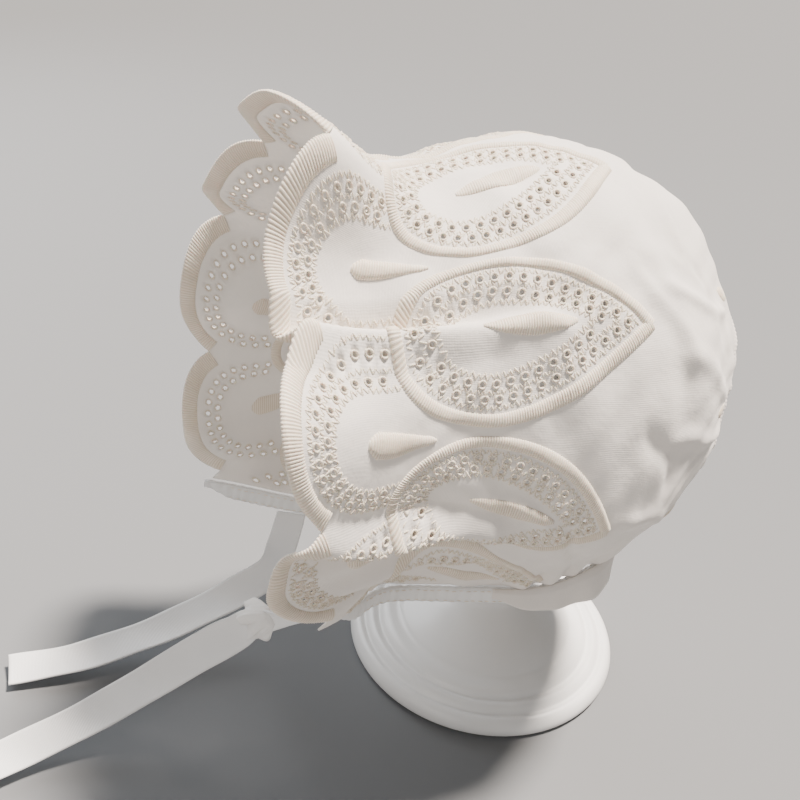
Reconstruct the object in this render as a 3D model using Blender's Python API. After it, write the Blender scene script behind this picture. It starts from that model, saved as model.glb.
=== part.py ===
"""Baby sun hat with a scalloped eyelet brim, resting on a plain turned stand.

The cloth is laid out flat in two lengths: arc runs round the brim from its middle
scallop, positive toward +X, and depth runs back from the scallop tips.  cloth()
carries such a point into the frame.  Z is up and the face opening looks toward -Y.
The origin is the middle of the stand's underside.
"""
import bpy
import numpy as np
from mathutils.geometry import delaunay_2d_cdt

for item in list(bpy.data.objects):
    bpy.data.objects.remove(item, do_unlink=True)

# Driving sizes in metres and degrees
BRIM_WIDTH = 0.136          # across the two sides at the scallop tips
BRIM_HEIGHT = 0.174         # full height of the brim's oval
HAT_DEPTH = 0.185           # scallop tips to the back
CLOTH_DEPTH = 0.228         # along the cloth, tips to the middle of the back
SCALLOP = 0.0507            # pitch of the scallops along the brim
SCALLOP_RADIUS = 0.030
CREASE_DEPTH = 0.058        # where the brim bends up from the crown
SEAM_DEPTH = 0.182          # where the crown meets the back panel
CLOTH_WALL = 0.0012
GAP = 0.0004                # between neighbouring pieces
EYELET = 0.0019             # hole across
BAND_HEIGHT = 0.0065
BAND_WALL = 0.0018
RUFFLE = 0.012
TIE_LENGTH = 0.156
TIE_WIDTH = 0.013
TIE_WALL = 0.001
TIE_GATHER = 0.026          # length over which a tie spreads from its gathered root
FOOT_RADIUS = 0.055
STAND_HEIGHT = 1.18218 * BRIM_HEIGHT  # its head ends just under the crown
HAT_TIP = np.radians([-3.0, -8.0])   # pitch and roll of the hat on its stand
HAT_PIVOT = np.array([0, 0, 0.143])
BACK_LEAN = 0.22            # forward slope of the lower back

# Form by depth. Columns: depth / CLOTH_DEPTH, y / HAT_DEPTH, half width / BRIM_WIDTH,
# half height / BRIM_HEIGHT, middle height / BRIM_HEIGHT
FORM = np.array([
    (-0.0263, -0.6432, 0.5110, 0.5086, 0.7471),
    (0.0000, -0.6108, 0.5000, 0.5000, 0.7471),
    (0.0658, -0.5351, 0.4743, 0.4713, 0.7414),
    (0.1316, -0.4595, 0.4485, 0.4454, 0.7356),
    (0.1974, -0.3838, 0.4301, 0.4310, 0.7356),
    (0.2544, -0.3135, 0.4301, 0.4310, 0.7356),
    (0.3289, -0.2270, 0.4522, 0.4598, 0.7328),
    (0.4167, -0.1243, 0.4779, 0.4885, 0.7270),
    (0.5263, 0.0054, 0.4890, 0.4941, 0.7154),
    (0.6360, 0.1297, 0.4669, 0.4440, 0.7085),
    (0.7237, 0.2108, 0.4118, 0.3673, 0.7114),
    (0.7982, 0.2703, 0.3382, 0.2929, 0.7173),
    (0.8772, 0.3270, 0.2316, 0.2098, 0.7213),
    (0.9430, 0.3568, 0.1176, 0.1092, 0.7184),
    (1.0000, 0.3649, 0.0037, 0.0034, 0.7126)])
# Neckline by depth. Columns: depth / CLOTH_DEPTH, height / BRIM_HEIGHT
NECKLINE = np.array([
    (-0.0263, 0.4420), (0.0000, 0.4400), (0.0658, 0.4300), (0.1316, 0.4100),
    (0.2544, 0.3950), (0.5263, 0.4080), (0.7237, 0.4138), (0.7982, 0.4253)])
# Pull of the soft rim. Columns: arc / SCALLOP, then x, y, z / SCALLOP
RIM_PULL = np.array([
    (-4.00, 0.158, 0.250, 0.100), (-3.51, 0.178, -0.060, 0.020), (-3.00, 0.039, 0.000, -0.197),
    (-2.50, -0.039, -0.059, -0.118), (-1.99, 0.079, -0.039, -0.138), (-1.50, -0.079, -0.020, -0.020),
    (-0.99, 0.099, 0.020, -0.178), (-0.49, 0.079, 0.020, -0.039), (0.00, 0.079, 0.020, 0.020),
    (0.24, 0.099, 0.039, 0.158), (0.49, 0.138, 0.079, 0.197), (0.99, -0.118, 0.000, -0.158),
    (1.50, -0.138, -0.059, -0.118), (1.99, 0.059, -0.020, -0.059), (2.50, 0.059, -0.020, -0.059),
    (3.00, 0.000, 0.000, -0.118), (3.51, 0.118, 0.200, -0.040), (4.00, 0.118, 0.250, 0.000)])
# Slide of the cloth round the arch. Columns: arc, then slide at the rim, root and back / SCALLOP
SLIDE = np.array([
    (0.00, 0.000, 0.000, 0.000), (0.50, 0.000, 0.079, -0.110), (0.90, 0.000, 0.070, 0.050),
    (1.12, 0.000, 0.020, 0.000), (1.50, 0.000, 0.039, -0.020), (2.00, 0.000, 0.158, 0.118), (2.50, 0.039, 0.099, 0.296),
    (3.00, 0.000, -0.039, 0.237), (3.50, 0.000, 0.000, 0.059), (4.25, 0.000, 0.000, 0.000)])
# Folds. Columns: arc at the rim, root and back / SCALLOP, half width, lean and lift / SCALLOP,
# then start, fullest and end depth / CLOTH_DEPTH
FOLDS = np.array([
    (1.46, 1.44, 1.40, 0.217, -0.118, 0.089, -0.044, 0.035, 0.518),
    (2.62, 2.80, 2.82, 0.256, -0.138, -0.128, -0.044, 0.184, 0.461),
    (3.25, 3.31, 3.25, 0.197, -0.079, -0.079, 0.022, 0.197, 0.395)])
# Petals. Columns: arc of the head and tip / SCALLOP; they stand between the scallops
PETALS = np.array([-2.5, -1.5, -0.5, 0.5, 1.5, 2.5])
PETAL_HEAD = 0.038
PETAL_TIP = 0.118
PETAL_HALF = 0.020
# Ties, from the neck band on. Columns: x, y, z of the middle / TIE_LENGTH, then the width line
TIE_NEAR = np.array([
    (0.218, -0.681, 0.426, 0.45, 0.40, -0.80), (0.177, -0.727, 0.359, 0.50, 0.25, -0.82),
    (0.135, -0.793, 0.276, 0.55, 0.15, -0.80), (0.106, -0.876, 0.192, 0.60, 0.10, -0.78),
    (0.092, -0.963, 0.125, 0.64, 0.05, -0.74), (0.090, -1.051, 0.077, 0.70, 0.00, -0.70),
    (0.099, -1.139, 0.050, 0.76, 0.00, -0.64), (0.117, -1.224, 0.038, 0.84, 0.00, -0.54),
    (0.151, -1.345, 0.032, 0.88, 0.00, -0.48)])
TIE_FAR = np.array([
    (-0.125, -0.539, 0.314, 0.50, 0.74, -0.30), (-0.145, -0.557, 0.218, 0.50, 0.60, -0.45),
    (-0.157, -0.639, 0.154, 0.55, 0.42, -0.55), (-0.158, -0.733, 0.109, 0.62, 0.25, -0.60),
    (-0.152, -0.834, 0.080, 0.70, 0.12, -0.62), (-0.147, -0.933, 0.059, 0.76, 0.05, -0.60),
    (-0.141, -1.029, 0.049, 0.80, 0.00, -0.58), (-0.145, -1.110, 0.042, 0.82, 0.00, -0.55),
    (-0.151, -1.194, 0.038, 0.84, 0.00, -0.53)])
# Stand profiles. Columns: radius / FOOT_RADIUS, height / STAND_HEIGHT
FOOT = np.array([
    (0.960, 0.000), (1.000, 0.007), (1.000, 0.019), (0.975, 0.031), (0.940, 0.036), (0.905, 0.034),
    (0.880, 0.041), (0.845, 0.046), (0.800, 0.043), (0.775, 0.051), (0.735, 0.057), (0.660, 0.060),
    (0.620, 0.068), (0.560, 0.078), (0.460, 0.092), (0.340, 0.106), (0.240, 0.125), (0.200, 0.150)])
STEM = np.array([
    (0.180, 0.152), (0.165, 0.180), (0.155, 0.260), (0.155, 0.480), (0.165, 0.640), (0.200, 0.700),
    (0.240, 0.718), (0.240, 0.728)])
HEAD = np.array([
    (0.200, 0.730), (0.480, 0.752), (0.640, 0.790), (0.690, 0.835), (0.660, 0.885), (0.560, 0.940),
    (0.400, 0.978), (0.200, 0.996)])

SHELF = np.linspace(0, np.pi, 400)
ARC = np.concatenate([[0], np.cumsum(np.hypot(
    np.diff(BRIM_WIDTH / 2 * np.sin(SHELF)), np.diff(BRIM_HEIGHT / 2 * np.cos(SHELF))))])


def ease(u):
    """Smooth step from 0 to 1."""
    u = np.clip(u, 0, 1)
    return u * u * (3 - 2 * u)


def smooth(xs, ys, x):
    """Cubic through a table's points."""
    x = np.clip(x, xs[0], xs[-1])
    slope = np.gradient(ys, xs)
    i = np.clip(np.searchsorted(xs, x, side="right") - 1, 0, len(xs) - 2)
    h = xs[i + 1] - xs[i]
    u = (x - xs[i]) / h
    return ((2 * u**3 - 3 * u**2 + 1) * ys[i] + (u**3 - 2 * u**2 + u) * h * slope[i]
            + (3 * u**2 - 2 * u**3) * ys[i + 1] + (u**3 - u**2) * h * slope[i + 1])


def form(depth, column):
    """One column of FORM at these depths, in metres."""
    unit = (CLOTH_DEPTH, HAT_DEPTH, BRIM_WIDTH, BRIM_HEIGHT, BRIM_HEIGHT)[column]
    return unit * smooth(FORM[:, 0], FORM[:, column], depth / CLOTH_DEPTH)


def neck_arc(depth):
    """Arc at which the cloth ends at the neckline."""
    depth = np.minimum(depth, SEAM_DEPTH)
    height = BRIM_HEIGHT * np.interp(depth / CLOTH_DEPTH, NECKLINE[:, 0], NECKLINE[:, 1])
    angle = np.arccos(np.clip((height - form(depth, 4)) / form(depth, 3), -1, 1))
    return np.interp(np.minimum(angle, 3.10), SHELF, ARC)


def arch(arc, depth):
    """Smooth oval form of the hat, before folds."""
    angle = np.sign(arc) * np.interp(np.abs(arc), ARC, SHELF)
    end = np.interp(neck_arc(depth), ARC, SHELF)
    low = ease((np.abs(angle) - 1.75) / np.maximum(end - 1.75, 0.2))
    draw = 1 - 0.22 * low * np.clip((SEAM_DEPTH - depth) / 0.04, 0, 1) * np.clip((depth + 0.01) / 0.06, 0, 1)
    lean = BACK_LEAN * form(depth, 3) * ease((0.6 - np.cos(angle)) / 1.2) * ease((depth - 0.085) / 0.075)
    points = np.stack([form(depth, 2) * np.sin(angle) * draw, form(depth, 1) - lean,
                       form(depth, 4) + form(depth, 3) * np.cos(angle)], -1)
    soft = 1 - ease((depth - 0.012) / 0.048)
    for k in range(3):
        points[..., k] += soft * SCALLOP * smooth(RIM_PULL[:, 0], RIM_PULL[:, k + 1], arc / SCALLOP)
    return points


def slide(arc, depth):
    """Arc after the cloth has slid round the arch."""
    side = np.abs(arc) / SCALLOP
    rim, root, back = (smooth(SLIDE[:, 0], SLIDE[:, k], side) for k in (1, 2, 3))
    u, v = ease(depth / 0.040), ease((depth - 0.040) / 0.078)
    move = (rim * (1 - u) + root * u) * (1 - v) + back * v
    return arc + np.sign(arc) * SCALLOP * move * (1 - ease((depth - 0.130) / 0.045))


def cloth(arc, depth, offset=0.0):
    """Cloth point in the frame, moved along the outward normal by offset."""
    arc, depth = np.broadcast_arrays(np.asarray(arc, float), np.asarray(depth, float))

    def folded(a, d):
        a2, e = slide(a, d), 0.0005
        points = arch(a2, d)
        along = arch(a2 + e, d) - arch(a2 - e, d)
        back = arch(a2, d + e) - arch(a2, d - e)
        along /= np.linalg.norm(along, axis=-1, keepdims=True)
        out = np.cross(along, back)
        out /= np.linalg.norm(out, axis=-1, keepdims=True)
        for f in FOLDS:
            line = smooth(np.array([f[6], 0.197, f[8]]), f[:3], d / CLOTH_DEPTH)
            u = np.clip((a / SCALLOP - line) / f[3], -1, 1)
            t = d / CLOTH_DEPTH
            amount = np.where(t < f[7], ease((t - f[6]) / (f[7] - f[6])), 1 - ease((t - f[7]) / (f[8] - f[7])))
            wave = np.sin(np.pi * u) * (1 - u**4) * amount * SCALLOP
            points = points + wave[..., None] * (f[4] * along + f[5] * out)
        gather = ease((np.abs(a) - neck_arc(d) + 0.030) / 0.030) * ease((d - 0.085) / 0.03)
        wave = 0.0011 * gather * np.sin(2 * np.pi * d / 0.017) * (1 - ease((d - 0.165) / 0.015))
        return points + wave[..., None] * out

    points, e = folded(arc, depth), 0.0004
    if offset:
        normal = np.cross(folded(arc + e, depth) - folded(arc - e, depth), folded(arc, depth + e) - folded(arc, depth - e))
        points = points + offset * normal / np.linalg.norm(normal, axis=-1, keepdims=True)
    return tip_hat(points)


def tip_hat(points):
    """Lean the hat on its stand."""
    (p, r) = HAT_TIP
    pitch = np.array([[1, 0, 0], [0, np.cos(p), -np.sin(p)], [0, np.sin(p), np.cos(p)]])
    roll = np.array([[np.cos(r), 0, np.sin(r)], [0, 1, 0], [-np.sin(r), 0, np.cos(r)]])
    return (points - HAT_PIVOT) @ (roll @ pitch).T + HAT_PIVOT


def rim(arc):
    """Depth of the scalloped edge."""
    u = arc - SCALLOP * np.round(arc / SCALLOP)
    return SCALLOP_RADIUS - np.sqrt(SCALLOP_RADIUS**2 - u * u)


def material(name, colour, roughness):
    """Plain Principled material."""
    mat = bpy.data.materials.new(name)
    mat.use_nodes = True
    shader = mat.node_tree.nodes["Principled BSDF"]
    shader.inputs["Base Color"].default_value = (*colour, 1)
    shader.inputs["Roughness"].default_value = roughness
    return mat


def add_piece(name, points, faces, mat):
    """Named object from points and faces."""
    mesh = bpy.data.meshes.new(name)
    mesh.from_pydata([tuple(map(float, p)) for p in points], [], [tuple(map(int, f)) for f in faces])
    mesh.validate()
    mesh.materials.append(mat)
    piece = bpy.data.objects.new(name, mesh)
    bpy.context.scene.collection.objects.link(piece)
    return piece


def wall_up(outer, inner, tris):
    """Close a triangulated sheet between its outer and inner points."""
    n = len(outer)
    faces = [tuple(t) for t in tris] + [(t[2] + n, t[1] + n, t[0] + n) for t in tris]
    edges = {(t[k], t[(k + 1) % 3]) for t in tris for k in range(3)}
    for a, b in edges:
        if (b, a) not in edges:
            faces.append((b, a, a + n, b + n))
    return np.concatenate([outer, inner]), faces


def inside(points, loop):
    """Which points lie inside a closed loop."""
    a, b = loop[None], np.roll(loop, -1, axis=0)[None]
    x, y = points[:, :1], points[:, 1:]
    spans = (a[..., 1] > y) != (b[..., 1] > y)
    rise = np.where(b[..., 1] == a[..., 1], 1.0, b[..., 1] - a[..., 1])
    return np.sum(spans & (x < (b[..., 0] - a[..., 0]) * (y - a[..., 1]) / rise + a[..., 0]), 1) % 2 == 1


def flat_pattern(loop, holes, grid):
    """Triangulate the flat cloth inside a loop, leaving the holes open."""
    points = [tuple(p) for p in loop]
    edges = [(k, (k + 1) % len(loop)) for k in range(len(loop))]
    for centre in holes:
        first = len(points)
        for k in range(5):
            turn = 2 * np.pi * (k + 0.5) / 5
            points.append((centre[0] + EYELET * 0.55 * np.cos(turn), centre[1] + EYELET * 0.55 * np.sin(turn)))
        edges += [(first + k, first + (k + 1) % 5) for k in range(5)]
    far = np.ones(len(grid), bool)
    for centre in holes:
        far &= np.hypot(*(grid - centre).T) > EYELET * 1.15
    points += [tuple(p) for p in grid[far]]
    verts, _, tris, _, _, _ = delaunay_2d_cdt(points, edges, [], 0, 1e-7)
    verts = np.array([tuple(v) for v in verts])
    middle = verts[np.array(tris)].mean(1)
    good = inside(middle, loop)
    for centre in holes:
        good &= np.hypot(*(middle - centre).T) > EYELET * 0.42
    tris = np.array(tris)[good]
    used = np.unique(tris)
    index = np.full(len(verts), -1)
    index[used] = np.arange(len(used))
    return verts[used], index[tris]


def cloth_piece(name, loop, holes, grid, mat):
    """Thin-walled piece from its flat pattern."""
    flat, tris = flat_pattern(loop, holes, grid)
    outer = cloth(flat[:, 0], flat[:, 1], CLOTH_WALL / 2)
    inner = cloth(flat[:, 0], flat[:, 1], -CLOTH_WALL / 2)
    points, faces = wall_up(outer, inner, [tuple(t) for t in tris])
    return add_piece(name, points, faces, mat)


def strip(name, middle, width, thick, mat):
    """Flat strip: middle, half width and half thickness vectors along a path."""
    ring = np.stack([middle - width - thick, middle + width - thick, middle + width + thick, middle - width + thick], 1)
    n = len(middle)
    faces = [(3, 2, 1, 0), (4 * n - 4, 4 * n - 3, 4 * n - 2, 4 * n - 1)]
    for j in range(0, 4 * n - 4, 4):     # both broad sides share one diagonal
        faces += [(j, j + 1, j + 5), (j, j + 5, j + 4), (j + 2, j + 3, j + 6), (j + 3, j + 7, j + 6),
                  (j + 1, j + 2, j + 6, j + 5), (j + 3, j, j + 4, j + 7)]
    return add_piece(name, ring.reshape(-1, 3), faces, mat)


def turned(name, profile, sides, mat):
    """Turned solid about the stand's axis."""
    turn = 2 * np.pi * np.arange(sides) / sides
    rings = [np.stack([r * FOOT_RADIUS * np.cos(turn), r * FOOT_RADIUS * np.sin(turn), z * STAND_HEIGHT + 0 * turn], 1)
             for r, z in profile]
    n = len(profile)
    faces = [(i * sides + k, i * sides + (k + 1) % sides, (i + 1) * sides + (k + 1) % sides, (i + 1) * sides + k)
             for i in range(n - 1) for k in range(sides)]
    faces += [tuple(range(sides))[::-1], tuple(range((n - 1) * sides, n * sides))]
    return add_piece(name, np.concatenate(rings), faces, mat)


def spacing(arcs):
    """Arc stations, closer together across the folds."""
    out, a = [], -arcs
    while a < arcs:
        out.append(a)
        near = min(abs(a / SCALLOP - f[1]) - f[3] for f in FOLDS)
        a += 0.0036 if near < 0.05 else 0.0085
    return np.array(out)


def petal_half(v):
    """Half width of a petal along its length, head 0 to tip 1."""
    round_head = np.sqrt(np.clip(1 - ((0.42 - v) / 0.42)**2, 0, 1))
    return PETAL_HALF * np.where(v < 0.42, round_head, 1 - (np.clip(v - 0.42, 0, 1) / 0.58)**1.8)


def eyelets():
    """Eyelet centres that are cut through: nine round each scallop, nine in each petal."""
    out = []
    for k in range(-3, 4):
        for turn in np.radians(np.linspace(-78, 78, 9)):
            r = SCALLOP_RADIUS - 0.0115
            out.append((k * SCALLOP + r * np.sin(turn), SCALLOP_RADIUS - r * np.cos(turn)))
    for base in PETALS * SCALLOP:
        for v in (0.13, 0.40, 0.54, 0.68):
            for side in (-1, 1):
                reach = petal_half(np.array(v)) - 0.0065
                out.append((base + side * reach, PETAL_HEAD + v * (PETAL_TIP - PETAL_HEAD)))
        out.append((base, PETAL_HEAD + 0.84 * (PETAL_TIP - PETAL_HEAD)))
    return np.array(out)


cotton = material("white cotton", (0.90, 0.89, 0.87), 0.9)
lace = material("embroidered cotton", (0.91, 0.89, 0.85), 0.85)
tape = material("binding tape", (0.90, 0.90, 0.89), 0.8)
ribbon = material("white ribbon", (0.92, 0.92, 0.92), 0.6)
gloss = material("white gloss stand", (0.88, 0.88, 0.88), 0.3)
HOLES = eyelets()

# Brim: scalloped edge, neck ends and crease line
corner = 3.7 * SCALLOP
for _ in range(30):
    corner = float(neck_arc(rim(np.array(corner))))
stations = np.unique(np.concatenate([np.linspace(-corner, corner, 81),
                                     SCALLOP * np.arange(-3.5, 3.6), SCALLOP * np.arange(-3, 4)]))
stations = stations[np.concatenate([[True], np.diff(stations) > 0.0012])]
edge = np.stack([stations, rim(stations)], 1)
side = np.linspace(float(rim(np.array(corner))), CREASE_DEPTH - GAP / 2, 8)[1:]
near_side = np.stack([neck_arc(side), side], 1)
back_arcs = spacing(float(near_side[-1, 0]))[1:]
back_line = np.stack([back_arcs[::-1], np.full(len(back_arcs), CREASE_DEPTH - GAP / 2)], 1)
brim_loop = np.concatenate([edge, near_side, back_line, (near_side * [-1, 1])[::-1]])
grid = np.array([(a, d) for j, d in enumerate(np.arange(0.006, CREASE_DEPTH - 0.004, 0.0074))
                 for a in spacing(0.2) + 0.0012 * (j % 2)
                 if d > rim(a) + 0.002 and abs(a) < neck_arc(d) - 0.003])
cloth_piece("brim", brim_loop, HOLES[HOLES[:, 1] < CREASE_DEPTH - 0.002], grid, lace)

# Crown: from the crease to the back seam
side = np.linspace(CREASE_DEPTH + GAP / 2, SEAM_DEPTH - GAP / 2, 24)
near_side = np.stack([neck_arc(side), side], 1)
front_arcs = spacing(float(near_side[0, 0]))[1:]
front_line = np.stack([front_arcs, np.full(len(front_arcs), side[0])], 1)
end_arc = float(near_side[-1, 0])
back_line = np.stack([np.linspace(end_arc, -end_arc, 41)[1:-1], np.full(39, side[-1])], 1)
crown_loop = np.concatenate([front_line, near_side, back_line, (near_side * [-1, 1])[::-1]])
grid = np.array([(a, d) for j, d in enumerate(np.arange(CREASE_DEPTH + 0.009, SEAM_DEPTH - 0.006, 0.0102))
                 for a in (spacing(0.24) if d < 0.11 else np.arange(-0.24, 0.24, 0.0105)) + 0.0015 * (j % 2)
                 if abs(a) < neck_arc(d) - 0.004])
cloth_piece("crown", crown_loop, HOLES[HOLES[:, 1] > CREASE_DEPTH + 0.002], grid, cotton)

# Back panel: rings round the middle of the back
sides = 36
turn = np.pi * (2 * np.arange(sides) / sides - 1)
turn_arc = np.sign(turn) * np.interp(np.abs(turn), SHELF, ARC)
depths = np.linspace(SEAM_DEPTH + GAP / 2, CLOTH_DEPTH - 0.006, 6)
flat = np.array([(a, d) for d in depths for a in turn_arc] + [(0.0, CLOTH_DEPTH)])
tris = []
for i in range(len(depths) - 1):
    for k in range(sides):
        a, b = i * sides + k, i * sides + (k + 1) % sides
        tris += [(a, b, b + sides), (a, b + sides, a + sides)]
tris += [((len(depths) - 1) * sides + k, (len(depths) - 1) * sides + (k + 1) % sides, len(flat) - 1) for k in range(sides)]
outer = cloth(flat[:, 0], flat[:, 1], CLOTH_WALL / 2)
inner = cloth(flat[:, 0], flat[:, 1], -CLOTH_WALL / 2)
pole = cloth(np.array([0.0]), np.array([CLOTH_DEPTH]))[0]
lean = tip_hat(np.array([[0, CLOTH_WALL / 2, 0]])) - tip_hat(np.zeros((1, 3)))
outer[-1], inner[-1] = pole + lean[0], pole - lean[0]
add_piece("back_panel", *wall_up(outer, inner, tris), cotton)

# Neck band and nape ruffle follow the neckline from one front corner round to the other
depth_line = np.concatenate([np.linspace(0.007, 0.150, 20), np.linspace(0.156, SEAM_DEPTH - 0.0006, 10)])
near = cloth(neck_arc(depth_line), depth_line)
far = cloth(-neck_arc(depth_line), depth_line)
line = np.concatenate([near, far[::-1]])
length = np.concatenate([[0], np.cumsum(np.linalg.norm(np.diff(line, axis=0), axis=1))])
even = np.linspace(0, length[-1], 60)
line = np.stack([np.interp(even, length, line[:, k]) for k in range(3)], 1)
for _ in range(2):
    line[1:-1] = (line[:-2] + 2 * line[1:-1] + line[2:]) / 4
ahead = np.gradient(line, axis=0)
ahead /= np.linalg.norm(ahead, axis=1, keepdims=True)
down = np.array([0, 0, -1.0])
across = np.cross(ahead, down)
across /= np.linalg.norm(across, axis=1, keepdims=True)
drop = np.cross(across, ahead)
drop *= np.sign(drop @ down)[:, None]
run = np.arange(len(line))[:, None] * np.linalg.norm(line[30] - line[29])
tall = BAND_HEIGHT * (0.3 + 0.7 * ease(run / 0.030))     # narrow at its near end
band_middle = line + drop * (0.0012 + tall / 2)
strip("neck_band", band_middle, drop * tall / 2, across * BAND_WALL / 2, tape)

share = np.linspace(0, 1, len(line))
deep = RUFFLE * ease((share - 0.20) / 0.12) * ease((0.80 - share) / 0.12)
held = slice(14, 50)
outward = across * np.sign(np.sum(across * (line - line.mean(0)), 1))[:, None]
rows = []
stand_off = outward * (BAND_WALL / 2 + GAP + CLOTH_WALL)
for v in np.linspace(0, 1, 4):
    swing = outward * (0.10 * v + 0.10 * v * np.sin(2 * np.pi * share * 9))[:, None] + drop * v
    rows.append(line + drop * 4 * GAP + stand_off + swing * np.maximum(deep, 0.003)[:, None])
rows = np.stack(rows, 1)[held]
m = rows.shape[0]
tris = []
for i in range(m - 1):
    for k in range(3):
        a, b, c, d = 4 * i + k, 4 * i + k + 1, 4 * i + 5 + k, 4 * i + 4 + k
        tris += [(a, b, c), (a, c, d)]
flat_out = np.repeat(outward[held][:, None], 4, 1) * CLOTH_WALL / 2
add_piece("nape_ruffle", *wall_up((rows + flat_out).reshape(-1, 3), (rows - flat_out).reshape(-1, 3), tris), cotton)


def tie(name, root, along_band, table):
    """Ribbon tie from its root on the neck band along its table's path, cut to length."""
    first = along_band * np.sign(along_band @ table[0, 3:])
    table = np.concatenate([[np.append(root / TIE_LENGTH, first)], table])
    knots = np.arange(len(table))
    fine = np.linspace(0, len(table) - 1, 120)
    path = np.stack([smooth(knots, table[:, k] * TIE_LENGTH, fine) for k in range(6)], 1)
    length = np.concatenate([[0], np.cumsum(np.linalg.norm(np.diff(path[:, :3], axis=0), axis=1))])
    even = np.linspace(0, min(TIE_LENGTH, length[-1]), 38)
    path = np.stack([np.interp(even, length, path[:, k]) for k in range(6)], 1)
    middle, wide = path[:, :3], path[:, 3:]
    ahead = np.gradient(middle, axis=0)
    ahead /= np.linalg.norm(ahead, axis=1, keepdims=True)
    wide = wide - ahead * np.sum(wide * ahead, 1, keepdims=True)
    wide /= np.linalg.norm(wide, axis=1, keepdims=True)
    thick = np.cross(ahead, wide)
    wide *= 0.35 + 0.65 * ease(even[:, None] / TIE_GATHER)
    low = middle[:, 2] - np.abs(wide[:, 2]) * TIE_WIDTH / 2 - np.abs(thick[:, 2]) * TIE_WALL / 2
    middle[:, 2] += np.maximum(0.0002 - low, 0)
    print(name, "length", round(float(length[-1]), 4), "start", middle[0].round(4))
    return strip(name, middle, wide * TIE_WIDTH / 2, thick * TIE_WALL / 2, ribbon)


far_root = int(np.argmin(np.abs(band_middle[30:, 1] + 0.079))) + 30
below = band_middle + drop * (tall / 2 + 0.4 * GAP + TIE_WALL)
tie("tie_near", below[2], ahead[2], TIE_NEAR)
tie("tie_far", below[far_root], ahead[far_root], TIE_FAR)
turned("stand_foot", FOOT, 36, gloss)
turned("stand_stem", STEM, 20, gloss)
turned("stand_head", HEAD, 28, gloss)
print("band ends", band_middle[0].round(4), band_middle[-1].round(4), band_middle[far_root].round(4))
for piece in bpy.data.objects:
    print(piece.name, sum(len(p.vertices) - 2 for p in piece.data.polygons))
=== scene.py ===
"""Baby sun hat with a scalloped eyelet brim on a plain turned stand.

The cloth is laid out flat in two lengths, as in the part's source: arc runs round the
brim from its middle scallop, positive toward +X, and depth runs back from the scallop
tips.  lay() carries a point of the flat cloth, and a height above it, into the frame.
"""

import bpy
import numpy as np
from mathutils import Matrix, Vector
from mathutils.geometry import delaunay_2d_cdt


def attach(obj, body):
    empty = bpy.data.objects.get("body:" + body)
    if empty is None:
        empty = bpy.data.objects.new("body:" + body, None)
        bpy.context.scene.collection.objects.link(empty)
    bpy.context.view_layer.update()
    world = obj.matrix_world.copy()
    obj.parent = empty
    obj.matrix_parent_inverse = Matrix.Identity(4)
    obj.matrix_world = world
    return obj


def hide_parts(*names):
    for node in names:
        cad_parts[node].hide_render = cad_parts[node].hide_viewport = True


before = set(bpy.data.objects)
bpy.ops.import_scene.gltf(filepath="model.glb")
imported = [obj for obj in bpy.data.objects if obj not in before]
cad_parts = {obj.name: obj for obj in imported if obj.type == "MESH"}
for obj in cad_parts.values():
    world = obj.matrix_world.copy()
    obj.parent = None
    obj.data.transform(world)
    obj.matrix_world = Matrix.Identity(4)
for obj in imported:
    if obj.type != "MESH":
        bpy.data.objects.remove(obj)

bl_info = {
    "name": "Baby Sun Hat",
    "version": (1, 0, 0),
    "blender": (4, 5, 0),
    "location": "View3D > Sidebar > Sun Hat",
    "description": "Scalloped eyelet baby sun hat on a turned stand",
    "category": "Object",
}

# Sizes of the hat, as in the part's source
BRIM_WIDTH = 0.136
BRIM_HEIGHT = 0.174
HAT_DEPTH = 0.185
CLOTH_DEPTH = 0.228
SCALLOP = 0.0507
SCALLOP_RADIUS = 0.030
SEAM_DEPTH = 0.182
BAND_HEIGHT = 0.0065
BAND_WALL = 0.0018
RUFFLE = 0.012
TIE_LENGTH = 0.156
TIE_WIDTH = 0.013
FOOT_RADIUS = 0.055
STAND_HEIGHT = 1.18218 * BRIM_HEIGHT
HAT_TIP = np.radians([-3.0, -8.0])
HAT_PIVOT = np.array([0, 0, 0.143])
TIE_GATHER = 0.056          # length over which a tie spreads from its gathered root
BACK_LEAN = 0.22            # forward slope of the lower back

# Form by depth. Columns: depth / CLOTH_DEPTH, y / HAT_DEPTH, half width / BRIM_WIDTH,
# half height / BRIM_HEIGHT, middle height / BRIM_HEIGHT
FORM = np.array([
    (-0.0263, -0.6432, 0.5110, 0.5086, 0.7471),
    (0.0000, -0.6108, 0.5000, 0.5000, 0.7471),
    (0.0658, -0.5351, 0.4743, 0.4713, 0.7414),
    (0.1316, -0.4595, 0.4485, 0.4454, 0.7356),
    (0.1974, -0.3838, 0.4301, 0.4310, 0.7356),
    (0.2544, -0.3135, 0.4301, 0.4310, 0.7356),
    (0.3289, -0.2270, 0.4522, 0.4598, 0.7328),
    (0.4167, -0.1243, 0.4779, 0.4885, 0.7270),
    (0.5263, 0.0054, 0.4890, 0.4941, 0.7154),
    (0.6360, 0.1297, 0.4669, 0.4440, 0.7085),
    (0.7237, 0.2108, 0.4118, 0.3673, 0.7114),
    (0.7982, 0.2703, 0.3382, 0.2929, 0.7173),
    (0.8772, 0.3270, 0.2316, 0.2098, 0.7213),
    (0.9430, 0.3568, 0.1176, 0.1092, 0.7184),
    (1.0000, 0.3649, 0.0037, 0.0034, 0.7126)])
# Neckline by depth. Columns: depth / CLOTH_DEPTH, height / BRIM_HEIGHT
NECKLINE = np.array([
    (-0.0263, 0.4420), (0.0000, 0.4400), (0.0658, 0.4300), (0.1316, 0.4100),
    (0.2544, 0.3950), (0.5263, 0.4080), (0.7237, 0.4138), (0.7982, 0.4253)])
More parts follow.
